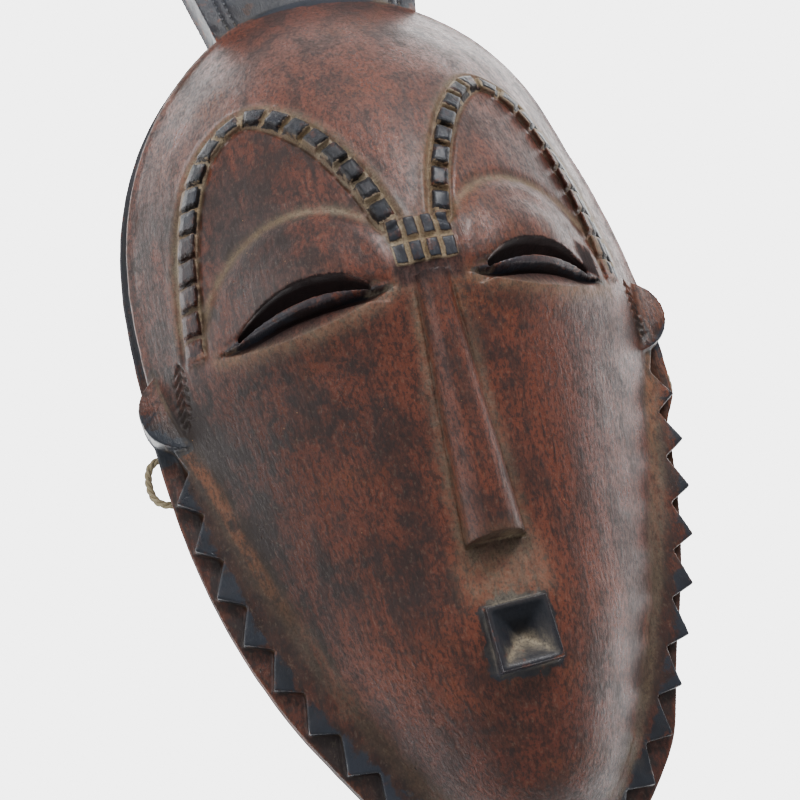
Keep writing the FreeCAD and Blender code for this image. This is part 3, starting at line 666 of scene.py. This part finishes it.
def dusty_share(at):
    """Dust in the creases, beside the brows and the nose, over the lids and in the mouth."""
    x, y, z = at.x, at.y, at.z
    crease = np.clip((at.near - 0.05) / 0.30, 0, 1)
    foot = band(at.relief, 1.0, 2.0, 3.5) * (y < -12) * (at.from_rim > 4) * (z < 5)
    wide_lip = np.exp(-(np.clip(at.brow_off - 2.9, 0, None) / 1.9) ** 2) * (at.brow_off > 2.2)
    thin_lip = np.exp(-(np.clip(at.brow_off - 2.8, 0, None) / 0.8) ** 2) * (at.brow_off > 2.2)
    brow_end = ramp(at.brow_length - 3, at.brow_length - 16, at.brow_along)
    beside_brow = np.where(at.brow_side > 0, 0.85 * wide_lip, 0.75 * thin_lip)
    over_lid = lid_ring(at.along, at.height)
    fold = at.front * ramp(-1, 6, at.height) * np.exp(-((over_lid - 1.05) / 0.05) ** 2)
    nose_share = np.clip((z - NOSE_BASE) / (NOSE_TOP - NOSE_BASE), 0, 1)
    nose_side = 8.25 - 3.25 * nose_share
    beside_nose = np.exp(-((np.abs(x) - nose_side - 1.1) / 1.3) ** 2) * np.where(x < 0, 1.0, 0.7)
    beside_nose *= band(z, (NOSE_TOP + NOSE_BASE) / 2, 36, 6) * at.front
    hopper = ramp(MOUTH_HALF - 1.4, MOUTH_HALF - 2.6, at.mouth) * (y < -26) * at.front
    ridge = np.minimum(np.abs(np.abs(x) - np.abs(z - MOUTH_CENTRE)), 9)
    hopper *= np.maximum(ramp(2.2, 0.3, ridge), ramp(4.0, 1.0, at.mouth))
    hopper *= ramp(MOUTH_CENTRE + 3, MOUTH_CENTRE - 1, z)
    dust = np.maximum.reduce([
        0.75 * crease * at.front, at.on_brow * brow_end * beside_brow, 0.62 * fold,
        0.40 * below_eye(at), 0.42 * beside_nose, 0.30 * under_nose(at),
        np.where(x > 0, 0.28, 0.16) * foot, 0.95 * hopper])
    for clean, share in (
            (at.under_lid, 1.0), (at.nose_root, 1.0), (at.temple, 0.8), (at.mouth_top, 1.0),
            (at.crest_face, 0.9), (at.slit_wall, 1.0)):
        dust = dust * (1 - share * clean)
    return dust


def worn_share(at):
    """Wear on edges, on the face's flanks and round the eyes and the nose's end."""
    edge = edge_share(at)
    flank = band(at.relief, 1.6, 1.2, 1.6) * ramp(26, 16, at.z) * (at.from_rim > 5) * (at.y < -12)
    wear = np.maximum.reduce([
        0.8 * edge, 0.9 * flank * ramp(-75, 0, at.z), 0.10 * at.flange, 0.45 * below_eye(at),
        0.35 * under_nose(at)])
    wear = wear * np.where(at.ear, 0.12, 1.0)
    wear = wear * np.where(at.on_eye & (at.height > at.crease_arc), 0.10, 1.0)
    return wear * (1 - at.nose_end) * (1 - at.nose_root) * (1 - at.temple)


def bare_share(at):
    """The hollow and the sides behind it, which were never stained."""
    hollow = (at.back > 0.05) * (at.from_rim > 4.0) * (at.y < -0.6)
    hollow_side = (at.y > -13.5) * (at.from_rim > 6.0) * (at.z < CREST_BASE)
    return np.maximum(hollow, hollow_side).astype(float)


def raw_share(at):
    """All that was never waxed: the hollow, the slits' walls, the side walls and the back."""
    side_wall = (at.y > -11.2) & (at.back > -0.6) & (at.from_rim < 9.0)
    return np.maximum.reduce([bare_share(at), at.slit_wall, side_wall, at.back > 0.5]).astype(float)


def darker_wood_and_shade_shares(at):
    """Shares of darker wood, more on the left-hand side, the chin, the top, the flange, the temples and the
    ears, and of the redder wood; on the lower side walls the darker share is painted shade.
    """
    x, y, z = at.x, at.y, at.z
    left = ramp(15.0, -40.0, x)
    chin = ramp(-72.0, -108.0, z)
    cheeks = band(z, -25.0, 30.0, 25.0)
    stain = 0.10 + 0.22 * left * cheeks + 0.12 * chin
    stain += 0.22 * band(z, 55, 18, 18) * left + 0.10 * ramp(95, 130, z)
    stain += 0.40 * ramp(-38.0, -62.0, x) * band(z, -45.0, 45.0, 25.0)
    stain += 0.30 * at.flange + 0.35 * at.temple + 0.22 * at.ear
    # Painted shade: the lower side walls and ledge take a fixed dark share for the shadow where the mask
    # meets the surface.
    ledge = (y > -11.6) & (at.from_rim < 9.0) & (z < 5)
    deep = np.maximum(chin * 0.8, 0.45 * ramp(10.0, 45.0, x) * cheeks)
    return np.where(ledge, 0.55, stain), deep


def painted_shade_share(at):
    """Painted shade: where the colour is blackened to stand for shadow, in deep hollows, under the lower
    lids, in the slits, in the mouth's top and at the nose's ends.
    """
    return np.maximum.reduce([
        np.clip(at.wide / 2.6, 0, 1), at.under_lid, at.roof, at.slit_wall,
        0.75 * at.nose_root, at.mouth_top, 0.75 * at.nose_end])


def mark_finish(piece, lid_drop):
    """Mark where paint, dust, wear, bare wood and painted shade lie, and return the brow's length."""
    at = survey(piece, lid_drop)
    name_parts(at)
    length = at.brow_length
    add_number(piece, "brow_along", at.brow_along)
    add_number(piece, "brow_off", np.where(at.on_brow > 0.5, at.brow_off, FAR))
    add_number(piece, "lid_line", np.where(at.on_eye, at.height - at.floor_arc, FAR))
    add_mark(piece, "bridge", at.bridge)
    add_mark(piece, "brow_worn", ramp(length * 0.62, length * 0.92, at.brow_along) * (at.x < 20))
    blurred = (
        ("paint", painted_share(at), 1),
        ("dust", dusty_share(at), 1),
        ("bare", bare_share(at) * (1.0 - at.slit_wall), 2),
        ("raw", raw_share(at), 1),
    )
    for name, share, passes in blurred:
        add_mark(piece, name, averaged(share.astype(float), at.edges, at.count, passes))
    stain, deep = darker_wood_and_shade_shares(at)
    # The 'stain' mark holds the darker shares, with painted shade on the lower side walls.
    add_mark(piece, "stain", stain)
    add_mark(piece, "deep", deep)
    add_mark(piece, "wear", worn_share(at))
    # Painted shade: the near-black share for hollows, slits, lids, mouth top and nose ends.
    add_mark(piece, "shade", painted_shade_share(at))
    add_mark(piece, "edge", edge_share(at))
    return length


# ---------------------------------------------------------------- materials

class Recipe:
    """Nodes of one material, made and linked by short calls."""

    def __init__(self, name):
        self.material = bpy.data.materials.new(name)
        self.material.use_nodes = True
        self.nodes = self.material.node_tree.nodes
        self.links = self.material.node_tree.links
        self.shader = self.nodes["Principled BSDF"]
        self.place = self.nodes.new("ShaderNodeTexCoord").outputs["Object"]

    def join(self, value, socket):
        """Link an output to a socket, or set the socket's own value."""
        if isinstance(value, bpy.types.NodeSocket):
            self.links.new(value, socket)
        else:
            socket.default_value = value

    def stretched(self, scale, turn=(0, 0, 0)):
        mapping = self.nodes.new("ShaderNodeMapping")
        mapping.inputs["Scale"].default_value = scale
        mapping.inputs["Rotation"].default_value = turn
        self.links.new(self.place, mapping.inputs["Vector"])
        return mapping.outputs["Vector"]

    def noise(self, scale, detail=4.0, rough=0.55, vector=None, warp=0.0):
        node = self.nodes.new("ShaderNodeTexNoise")
        node.inputs["Scale"].default_value = scale
        node.inputs["Detail"].default_value = detail
        node.inputs["Roughness"].default_value = rough
        node.inputs["Distortion"].default_value = warp
        self.links.new(self.place if vector is None else vector, node.inputs["Vector"])
        return node.outputs["Fac"]

    def cells(self, scale, vector=None):
        node = self.nodes.new("ShaderNodeTexVoronoi")
        node.inputs["Scale"].default_value = scale
        self.links.new(self.place if vector is None else vector, node.inputs["Vector"])
        return node.outputs["Distance"]

    def mark(self, name):
        node = self.nodes.new("ShaderNodeAttribute")
        node.attribute_name = name
        return node.outputs["Fac"]

    def remap(self, value, low, high, to_low=0.0, to_high=1.0):
        node = self.nodes.new("ShaderNodeMapRange")
        node.interpolation_type = "SMOOTHSTEP"
        self.join(value, node.inputs["Value"])
        node.inputs["From Min"].default_value = low
        node.inputs["From Max"].default_value = high
        node.inputs["To Min"].default_value = to_low
        node.inputs["To Max"].default_value = to_high
        return node.outputs["Result"]

    def math(self, kind, a, b=0.0, clamp=True):
        node = self.nodes.new("ShaderNodeMath")
        node.operation = kind
        node.use_clamp = clamp
        self.join(a, node.inputs[0])
        self.join(b, node.inputs[1])
        return node.outputs[0]

    def times(self, a, b, clamp=True):
        return self.math("MULTIPLY", a, b, clamp)

    def plus(self, a, b, clamp=True):
        return self.math("ADD", a, b, clamp)

    def minus(self, a, b, clamp=True):
        return self.math("SUBTRACT", a, b, clamp)

    def most(self, a, b):
        return self.math("MAXIMUM", a, b)

    def mix(self, share, a, b):
        node = self.nodes.new("ShaderNodeMix")
        node.data_type = "RGBA"
        self.join(share, node.inputs["Factor"])
        self.join(a if isinstance(a, bpy.types.NodeSocket) else (*a, 1), node.inputs["A"])
        self.join(b if isinstance(b, bpy.types.NodeSocket) else (*b, 1), node.inputs["B"])
        return node.outputs["Result"]

    def bump(self, height, strength, distance, under=None):
        node = self.nodes.new("ShaderNodeBump")
        node.inputs["Strength"].default_value = strength
        node.inputs["Distance"].default_value = distance
        self.links.new(height, node.inputs["Height"])
        if under is not None:
            self.links.new(under, node.inputs["Normal"])
        return node.outputs["Normal"]


def stepped(recipe, value, pitch, solid, soft=0.12):
    """1 on the solid part of each repeat of a length, and 0 in the gap after it."""
    place = recipe.math("FRACT", recipe.math("DIVIDE", value, pitch, False), 0.0, False)
    share = solid / pitch
    blur = soft / pitch
    rising = recipe.remap(place, 0.0, 2 * blur)
    falling = recipe.remap(place, share, share - 2 * blur)
    return recipe.times(rising, falling)


def dimmed(colour, share):
    return tuple(value * share for value in colour)


def wood_fields(wood):
    """The grain, streaks, clouds and grit that colour, gloss and relief share."""
    grain_way = wood.stretched((230, 230, 26), (0.05, 0.0, 0.08))
    streak_way = wood.stretched((95, 95, 14), (0.0, 0.1, -0.05))
    return SimpleNamespace(
        grain=wood.noise(3.0, 7.0, 0.68, grain_way, 0.25),
        streaks=wood.noise(1.0, 6.0, 0.62, streak_way, 0.5),
        clouds=wood.noise(34.0, 5.0, 0.6, None, 0.4),
        patches=wood.noise(17.0, 4.0, 0.55, None, 0.7),
        mottle=wood.noise(190.0, 5.0, 0.7),
        powder=wood.noise(1500.0, 3.0, 0.75),
        grit=wood.noise(1000.0, 4.0, 0.75, wood.stretched((1.0, 1.0, 0.6))))


def stained_colour(wood, on, settings):
    """Red wood under dark stain, orange where it has rubbed off, blackened by painted shade in hollows, slits
    and under the lids, and bare in the hollow.
    """
    dark = tuple(settings.dark_wood)
    colour = wood.mix(wood.mark("deep"), tuple(settings.wood), tuple(settings.deep_wood))
    stain = wood.plus(wood.remap(on.streaks, 0.42, 0.62, 0, 0.90), wood.remap(on.clouds, 0.44, 0.64, 0, 0.85))
    stain = wood.plus(stain, wood.remap(on.mottle, 0.46, 0.66, -0.25, 0.55))
    # The 'stain' mark adds the darker shares, among them painted shade on the lower side walls.
    stain = wood.plus(wood.times(stain, 0.62), wood.mark("stain"))
    colour = wood.mix(stain, colour, dark)

    rubbed = wood.times(wood.remap(on.patches, 0.53, 0.66), wood.remap(on.grain, 0.42, 0.60))
    worn = wood.times(wood.mark("wear"), wood.remap(on.mottle, 0.34, 0.56))
    colour = wood.mix(wood.plus(wood.times(rubbed, 0.85), worn), colour, tuple(settings.worn_wood))
    colour = wood.mix(wood.remap(on.grain, 0.50, 0.64, 0, 0.62), colour, dimmed(dark, 0.8))
    colour = wood.mix(wood.remap(on.grit, 0.50, 0.58, 0, 0.72), colour, dark)
    colour = wood.mix(wood.remap(on.grit, 0.44, 0.34, 0, 0.13), colour, dimmed(settings.dust, 0.9))
    # Painted shade: the colour turns near-black where the 'shade' mark says shadow falls.
    colour = wood.mix(wood.times(wood.mark("shade"), 0.94), colour, PAINTED_SHADE_TONE)
    bare_tone = tuple(settings.bare_wood)
    bare_tone = wood.mix(wood.remap(on.streaks, 0.35, 0.7), bare_tone, dimmed(bare_tone, 0.45))
    return wood.mix(wood.times(wood.mark("bare"), 0.85), colour, bare_tone)


def block_fields(wood, on, brow_length):
    """The brows' and the bridge's blocks, the facet on each, which also sets the painted shade on the brow
    blocks' flanks, and the distance from the brow's middle.
    """
    wobble = wood.remap(on.mottle, 0.3, 0.7, -0.45, 0.45)
    half_wobble = wood.times(wobble, 0.5, False)
    pitch = brow_length / int(brow_length / BROW_PITCH)
    along = wood.plus(wood.mark("brow_along"), wobble, False)
    off = wood.plus(wood.mark("brow_off"), wood.times(wobble, 0.6, False), False)
    blocks = wood.times(stepped(wood, along, pitch, pitch - BROW_GAP, 0.2), wood.remap(off, 2.8, 2.45))
    split = wood.nodes.new("ShaderNodeSeparateXYZ")
    wood.links.new(wood.place, split.inputs["Vector"])
    chequers = wood.mark("bridge")
    for axis, start, step, solid, soft in (
            ("X", BRIDGE_HALF, COLUMN_PITCH, COLUMN_SOLID, 0.15),
            ("Z", -BRIDGE_BOTTOM, ROW_PITCH, ROW_SOLID, 0.2)):
        place = wood.plus(wood.times(split.outputs[axis], 1 / MM, False), start, False)
        place = wood.plus(place, half_wobble, False)
        chequers = wood.times(stepped(wood, place, step, solid, soft), chequers)
    facet_and_shade = wood.times(stepped(wood, along, pitch, pitch - BROW_GAP, 0.9), wood.remap(off, 2.7, 1.3))
    facet_and_shade = wood.most(facet_and_shade, wood.minus(1.0, wood.remap(off, 20.0, 10.0)))
    return wood.most(blocks, chequers), facet_and_shade, off


def paint_layer(wood, on, colour, blocks, facet_and_shade, settings):
    """Blue-black paint on blocks, lids, lips, teeth and crest, chipped at the edges, with painted shade on
    the blocks' flanks and lighter patches that are partly painted sheen.
    """
    wobble = wood.remap(on.mottle, 0.3, 0.7, -0.45, 0.45)
    lid_line = wood.plus(wood.mark("lid_line"), wood.times(wobble, 0.5, False), False)
    lid_rim = wood.times(wood.remap(lid_line, -1.8, -1.4), wood.remap(lid_line, 0.6, 0.2))
    edge = wood.plus(wood.mark("paint"), wood.remap(on.mottle, 0.3, 0.7, -0.2, 0.25), False)
    painted = wood.most(wood.remap(edge, 0.42, 0.66), wood.times(lid_rim, 0.8))
    faded = wood.minus(1.0, wood.times(wood.mark("brow_worn"), 0.45))
    painted = wood.most(painted, wood.times(blocks, faded))
    chips = wood.times(wood.remap(wood.noise(260.0, 3.0, 0.6), 0.57, 0.63), wood.mark("edge"))
    rubs = wood.times(wood.remap(wood.noise(120.0, 3.0, 0.6), 0.60, 0.68), 0.8)
    painted = wood.minus(painted, wood.most(chips, rubs))
    # Partly painted sheen: the paint varies at random into a lighter blue-grey, which also stands in for its
    # sheen.
    tone = wood.mix(wood.remap(on.clouds, 0.35, 0.65), tuple(settings.paint), dimmed(settings.paint, 2.1))
    # Painted shade: the paint drops to 0.3 of its tone on the brow blocks' flanks and ends, away from each
    # block's flat top.
    tone = wood.mix(facet_and_shade, dimmed(settings.paint, 0.3), tone)
    return wood.mix(wood.times(painted, 0.95), colour, tone)


def dust_layer(wood, on, colour, blocks, off, settings):
    """Dust in the creases and between the blocks."""
    gaps = wood.minus(wood.remap(off, 3.0, 2.6), wood.times(wood.mark("brow_worn"), 0.6))
    gaps = wood.minus(wood.most(gaps, wood.mark("bridge")), blocks)
    lie = wood.times(wood.mark("dust"), wood.remap(on.mottle, 0.28, 0.60, 0.30, 1.0))
    lie = wood.most(wood.minus(lie, blocks), gaps)
    dusty = wood.times(lie, wood.remap(on.powder, 0.34, 0.56, 0.42, 1.0))
    browner = tuple(c * f for c, f in zip(settings.dust, (0.78, 0.68, 0.56)))
    tone = wood.mix(wood.remap(on.clouds, 0.35, 0.65), tuple(settings.dust), browner)
    return wood.mix(dusty, colour, tone), dusty


def nick_layer(wood, colour):
    """Sparse pale specks and small dark nicks."""
    specks = wood.remap(wood.cells(260.0), 0.055, 0.035)
    some = wood.remap(wood.noise(60.0, 2.0), 0.56, 0.62)
    colour = wood.mix(wood.times(specks, some), colour, SPECK_TONE)
    nicks = wood.remap(wood.cells(170.0, wood.stretched((1, 1, 0.4))), 0.05, 0.03)
    nicked = wood.times(nicks, wood.remap(wood.noise(45.0, 2.0), 0.58, 0.63))
    return wood.mix(nicked, colour, NICK_TONE), nicked


def set_gloss(wood, on, dusty):
    """Wax over most of the wood, dull in dust, shade and grit and on raw wood."""
    raw = wood.mark("raw")
    rough = wood.remap(on.streaks, 0.3, 0.7, 0.24, 0.38)
    for more in (
            wood.remap(on.mottle, 0.45, 0.7, 0.0, 0.16), wood.remap(on.grit, 0.45, 0.60, 0.0, 0.12),
            wood.times(wood.mark("shade"), 0.5), wood.times(dusty, 0.5),
            wood.times(wood.mark("bare"), 0.3), wood.times(raw, 0.5)):
        rough = wood.plus(rough, more)
    wood.links.new(rough, wood.shader.inputs["Roughness"])
    wood.links.new(wood.remap(raw, 0.0, 1.0, 0.12, 0.0), wood.shader.inputs["Coat Weight"])
    wood.shader.inputs["Specular IOR Level"].default_value = 0.5
    wood.shader.inputs["Coat Roughness"].default_value = 0.25


def set_relief(wood, on, blocks, facet_and_shade, nicked, dusty):
    """Grit, grain, waves, nicks, cut blocks and dust, each laid over the last."""
    layers = (
        (on.grit, 0.55, 0.30), (on.grain, 0.55, 0.35), (on.streaks, 0.35, 0.7),
        (wood.minus(1.0, nicked), 0.5, 0.3), (wood.times(blocks, facet_and_shade), 0.9, 1.2),
        (wood.times(on.powder, dusty), 0.6, 0.25),
    )
    under = None
    for height, strength, distance in layers:
        under = wood.bump(height, strength, distance * MM, under)
    wood.links.new(under, wood.shader.inputs["Normal"])


def carved_wood(settings, brow_length):
    """Stained, waxed and worn wood with blue-black paint and dust in its creases."""
    wood = Recipe("carved_wood_finish")
    on = wood_fields(wood)
    colour = stained_colour(wood, on, settings)
    blocks, facet_and_shade, off = block_fields(wood, on, brow_length)
    colour = paint_layer(wood, on, colour, blocks, facet_and_shade, settings)
    colour, dusty = dust_layer(wood, on, colour, blocks, off, settings)
    colour, nicked = nick_layer(wood, colour)
    wood.links.new(colour, wood.shader.inputs["Base Color"])
    set_gloss(wood, on, dusty)
    set_relief(wood, on, blocks, facet_and_shade, nicked, dusty)
    return wood.material


def cotton_twine(settings):
    """Cream cotton whose fibres run with the strands, a little soiled."""
    twine = Recipe("cotton_twine")
    fibres = twine.noise(2600.0, 4.0, 0.7)
    soil = twine.noise(140.0, 4.0, 0.6)
    tone = twine.mix(twine.remap(fibres, 0.35, 0.65), tuple(settings.cotton), dimmed(settings.cotton, 0.72))
    soiled = twine.mix(twine.remap(soil, 0.5, 0.75, 0, 0.6), tone, SOIL_TONE)
    twine.links.new(soiled, twine.shader.inputs["Base Color"])
    twine.shader.inputs["Roughness"].default_value = 0.88
    twine.shader.inputs["Sheen Weight"].default_value = 0.25
    twine.links.new(twine.bump(fibres, 0.7, 0.15 * MM), twine.shader.inputs["Normal"])
    return twine.material


# ---------------------------------------------------------------- operators

class MASK_OT_carve(bpy.types.Operator):
    """Carve the mask's worn surface from its packed block"""
    bl_idname = "mask.carve"
    bl_label = "Carve the mask"

    def execute(self, context):
        settings = context.scene.mask_carving
        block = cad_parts["mask"]
        take(block)
        bpy.ops.object.duplicate()
        piece = context.view_layer.objects.active
        piece.name = piece.data.name = "carved_mask"
        for key in list(piece.keys()):
            del piece[key]
        piece.parent = None
        piece.matrix_world = Matrix.Identity(4)
        take(piece)
        bpy.ops.object.mode_set(mode="EDIT")
        bpy.ops.mesh.select_all(action="SELECT")
        bpy.ops.mesh.remove_doubles(threshold=0.00001)
        bpy.ops.object.mode_set(mode="OBJECT")
        piece.data.materials.clear()

        finish_with(piece, "REMESH", mode="VOXEL", voxel_size=settings.cell)
        put_points(piece, large_cuts(points_of(piece), settings))
        put_points(piece, lean_head(points_of(piece), settings))
        finish_with(piece, "SMOOTH", factor=0.5, iterations=1)
        put_points(piece, hand_marks(points_of(piece), normals_of(piece), settings))
        put_points(piece, temple_hatch(points_of(piece), normals_of(piece)))
        count = sum(len(face.vertices) - 2 for face in piece.data.polygons)
        if count > settings.triangles:
            finish_with(piece, "DECIMATE", ratio=settings.triangles / count)
        take(piece)
        bpy.ops.object.shade_smooth()
        brow_length = mark_finish(piece, settings.lid_drop / MM)
        piece.data.materials.append(carved_wood(settings, brow_length))
        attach(piece, "carving")
        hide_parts("mask")
        return {"FINISHED"}


def route_points(name, route):
    """A smooth route of the twine, and evenly spaced points read from it, in metres."""
    curve = bpy.data.curves.new(name, "CURVE")
    curve.dimensions = "3D"
    spline = curve.splines.new("NURBS")
    spline.points.add(len(route) - 1)
    for point, place in zip(spline.points, route):
        point.co = (*[value * MM for value in place], 1)
    spline.order_u = 3
    spline.use_endpoint_u = True
    curve.resolution_u = 24
    carrier = bpy.data.objects.new(name, curve)
    bpy.context.scene.collection.objects.link(carrier)
    bpy.context.view_layer.update()
    mesh = bpy.data.meshes.new_from_object(carrier)
    points = np.array([vertex.co for vertex in mesh.vertices], float).reshape(-1, 3)
    bpy.data.meshes.remove(mesh)
    bpy.data.objects.remove(carrier)
    bpy.data.curves.remove(curve)
    steps = np.linalg.norm(np.diff(points, axis=0), axis=1)
    kept = np.concatenate([[True], steps > 1e-7])
    points = points[kept]
    travelled = np.concatenate([[0], np.cumsum(np.linalg.norm(np.diff(points, axis=0), axis=1))])
    wanted = np.linspace(0, travelled[-1], int(travelled[-1] / (0.45 * MM)))
    return np.stack([np.interp(wanted, travelled, points[:, k]) for k in range(3)], 1), travelled[-1]


def round_rods(name, paths, radius, resolution):
    """One mesh of round rods that follow the given paths, closed at their ends."""
    curve = bpy.data.curves.new(name, "CURVE")
    curve.dimensions = "3D"
    curve.bevel_depth = radius
    curve.bevel_resolution = resolution
    curve.use_fill_caps = True
    for path in paths:
        spline = curve.splines.new("POLY")
        spline.points.add(len(path) - 1)
        spline.points.foreach_set("co", np.hstack([path, np.ones((len(path), 1))]).ravel())
    piece = bpy.data.objects.new(name, curve)
    bpy.context.scene.collection.objects.link(piece)
    take(piece)
    bpy.ops.object.convert(target="MESH")
    bpy.ops.object.shade_smooth()
    return piece


def twisted(name, path, settings):
    """Strands twisted round a path, as one mesh."""
    half = settings.diameter / 2
    spread = half / (1 + math.sin(math.pi / settings.strands))
    along = np.gradient(path, axis=0)
    along /= np.linalg.norm(along, axis=1)[:, None]
    travelled = np.concatenate([[0], np.cumsum(np.linalg.norm(np.diff(path, axis=0), axis=1))])
    side = np.cross(along, np.array([0.0, 1.0, 0.0]))
    side /= np.linalg.norm(side, axis=1)[:, None]
    other = np.cross(side, along)
    strands = []
    for k in range(settings.strands):
        turn = travelled / settings.lay * 2 * math.pi + k * 2 * math.pi / settings.strands
        strands.append(path + spread * (np.cos(turn)[:, None] * side + np.sin(turn)[:, None] * other))
    return round_rods(name, strands, half - spread, 2)


def wound_knot(name, centre):
    """Two turns of twine wound tight round the cord, drawn in at their ends."""
    share = np.linspace(0, 1, KNOT_STEPS)
    angle = share * KNOT_TURNS * 2 * math.pi
    radius = (1.45 - 0.35 * np.abs(2 * share - 1) ** 6) * MM
    path = np.stack([
        centre[0] + (share - 0.5) * KNOT_LENGTH * MM,
        centre[1] + radius * np.cos(angle),
        centre[2] + radius * np.sin(angle)], 1)
    return round_rods(name, [path], KNOT_STRAND * MM, 4)


class MASK_OT_twine(bpy.types.Operator):
    """Twist the hanging cord, its two ties and their knots"""
    bl_idname = "mask.twine"
    bl_label = "Twist the twine"

    def execute(self, context):
        settings = context.scene.mask_twine
        material = cotton_twine(settings)
        span_path, span_length = route_points("span_route", SPAN_ROUTE)
        span = twisted("twine_span", span_path, settings)
        made = [span]
        for side, sign, shape in (("right", 1, TIGHT_TIE_ROUTE), ("left", -1, TIE_ROUTE)):
            route = [(sign * a, b, c) for a, b, c in shape]
            path, length = route_points("tie_route", route)
            tie = twisted("twine_tie_" + side, path, settings)
            knot = wound_knot("twine_knot_" + side, (sign * KNOT_X * MM, KNOT_Y * MM, 0))
            for piece, node in ((tie, "cord_tie_" + side), (knot, "cord_knot_" + side)):
                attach(piece, "carving")
                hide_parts(node)
            made += [tie, knot]
        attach(span, "cord")
        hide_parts("hanging_cord")
        for piece in made:
            piece.data.materials.clear()
            piece.data.materials.append(material)
        return {"FINISHED"}


def place_camera(context, settings):
    deselect_all()
    bpy.ops.object.camera_add()
    camera = context.view_layer.objects.active
    camera.name = "mask_camera"
    turned = Matrix((CAMERA_RIGHT, CAMERA_UP, CAMERA_BACK)).transposed().to_4x4()
    camera.matrix_world = Matrix.Translation(Vector(CAMERA_PLACE) * MM) @ turned
    camera.data.sensor_width = 36.0
    camera.data.lens = settings.lens
    camera.data.clip_start = 0.01
    context.scene.camera = camera


def lay_surface(context):
    """The pale surface, far enough behind the mask for its back to be seen."""
    deselect_all()
    bpy.ops.mesh.primitive_plane_add(
        size=SURFACE_SIZE, location=(0, SURFACE_BEHIND, 0), rotation=(math.radians(90), 0, 0))
    surface = context.view_layer.objects.active
    surface.name = "pale_surface"
    bpy.ops.object.transform_apply(location=True, rotation=True, scale=True)
    surface.is_shadow_catcher = True
    surface.visible_shadow = False
    surface.visible_glossy = False
    surface.visible_diffuse = False


def rescale(nodes, links, value, from_range, to_range):
    """A Map Range node from one range to another, fed with a value."""
    node = nodes.new("ShaderNodeMapRange")
    links.new(value, node.inputs["Value"])
    node.inputs["From Min"].default_value, node.inputs["From Max"].default_value = from_range
    node.inputs["To Min"].default_value, node.inputs["To Max"].default_value = to_range
    return node


def light_surroundings(context, settings):
    """A dim room before the mask and a bright surface behind, brighter still as it is mirrored."""
    world = bpy.data.worlds.new("pale_surroundings")
    context.scene.world = world
    world.use_nodes = True
    nodes, links = world.node_tree.nodes, world.node_tree.links
    backdrop = nodes["Background"]
    backdrop.inputs["Color"].default_value = (1.0, 1.0, 1.0, 1)
    way = nodes.new("ShaderNodeSeparateXYZ")
    links.new(nodes.new("ShaderNodeTexCoord").outputs["Generated"], way.inputs["Vector"])
    lit = rescale(nodes, links, way.outputs["Y"], (0.0, 0.55), (settings.room, settings.table))
    lit.interpolation_type = "SMOOTHSTEP"
    shine = rescale(
        nodes, links, lit.outputs["Result"],
        (settings.room, settings.table), (settings.room, settings.shine))
    path = nodes.new("ShaderNodeLightPath")
    mirrored = nodes.new("ShaderNodeMix")
    links.new(path.outputs["Is Glossy Ray"], mirrored.inputs["Factor"])
    links.new(lit.outputs["Result"], mirrored.inputs["A"])
    links.new(shine.outputs["Result"], mirrored.inputs["B"])
    seen = nodes.new("ShaderNodeMix")
    links.new(path.outputs["Is Camera Ray"], seen.inputs["Factor"])
    links.new(mirrored.outputs["Result"], seen.inputs["A"])
    seen.inputs["B"].default_value = settings.backdrop
    links.new(seen.outputs["Result"], backdrop.inputs["Strength"])


def hang_lights(context, settings):
    """Soft square lights, all aimed at the middle of the face."""
    for name, size, spot in LIGHTS:
        bpy.ops.object.light_add(type="AREA", location=spot)
        light = context.view_layer.objects.active
        light.name = name + "_light"
        light.data.energy = getattr(settings, name)
        light.data.size = size
        aim = Vector(LIGHT_AIM) - Vector(spot)
        light.rotation_euler = aim.to_track_quat("-Z", "Y").to_euler()


class MASK_OT_stage(bpy.types.Operator):
    """Set the camera, the pale surface and the soft lights"""
    bl_idname = "mask.stage"
    bl_label = "Set the stage"

    def execute(self, context):
        settings = context.scene.mask_stage
        place_camera(context, settings)
        lay_surface(context)
        light_surroundings(context, settings)
        hang_lights(context, settings)
        return {"FINISHED"}


class MASK_PT_panel(bpy.types.Panel):
    """The mask's steps and sizes"""
    bl_idname = "MASK_PT_panel"
    bl_label = "Carved mask"
    bl_space_type = "VIEW_3D"
    bl_region_type = "UI"
    bl_category = "Mask"

    def draw(self, context):
        groups = (
            ("mask.carve", context.scene.mask_carving),
            ("mask.twine", context.scene.mask_twine),
            ("mask.stage", context.scene.mask_stage),
        )
        for operator, settings in groups:
            box = self.layout.box()
            box.operator(operator)
            for name in settings.__annotations__:
                box.prop(settings, name)


CLASSES = (
    CarvingSettings, TwineSettings, StageSettings,
    MASK_OT_stage, MASK_OT_twine, MASK_OT_carve, MASK_PT_panel,
)


def register():
    for made in CLASSES:
        bpy.utils.register_class(made)
    bpy.types.Scene.mask_carving = bpy.props.PointerProperty(type=CarvingSettings)
    bpy.types.Scene.mask_twine = bpy.props.PointerProperty(type=TwineSettings)
    bpy.types.Scene.mask_stage = bpy.props.PointerProperty(type=StageSettings)


def unregister():
    del bpy.types.Scene.mask_stage
    del bpy.types.Scene.mask_twine
    del bpy.types.Scene.mask_carving
    for made in reversed(CLASSES):
        bpy.utils.unregister_class(made)


def main():
    register()
    bpy.ops.mask.stage()
    bpy.ops.mask.twine()
    bpy.ops.mask.carve()


if __name__ == "__main__":
    main()
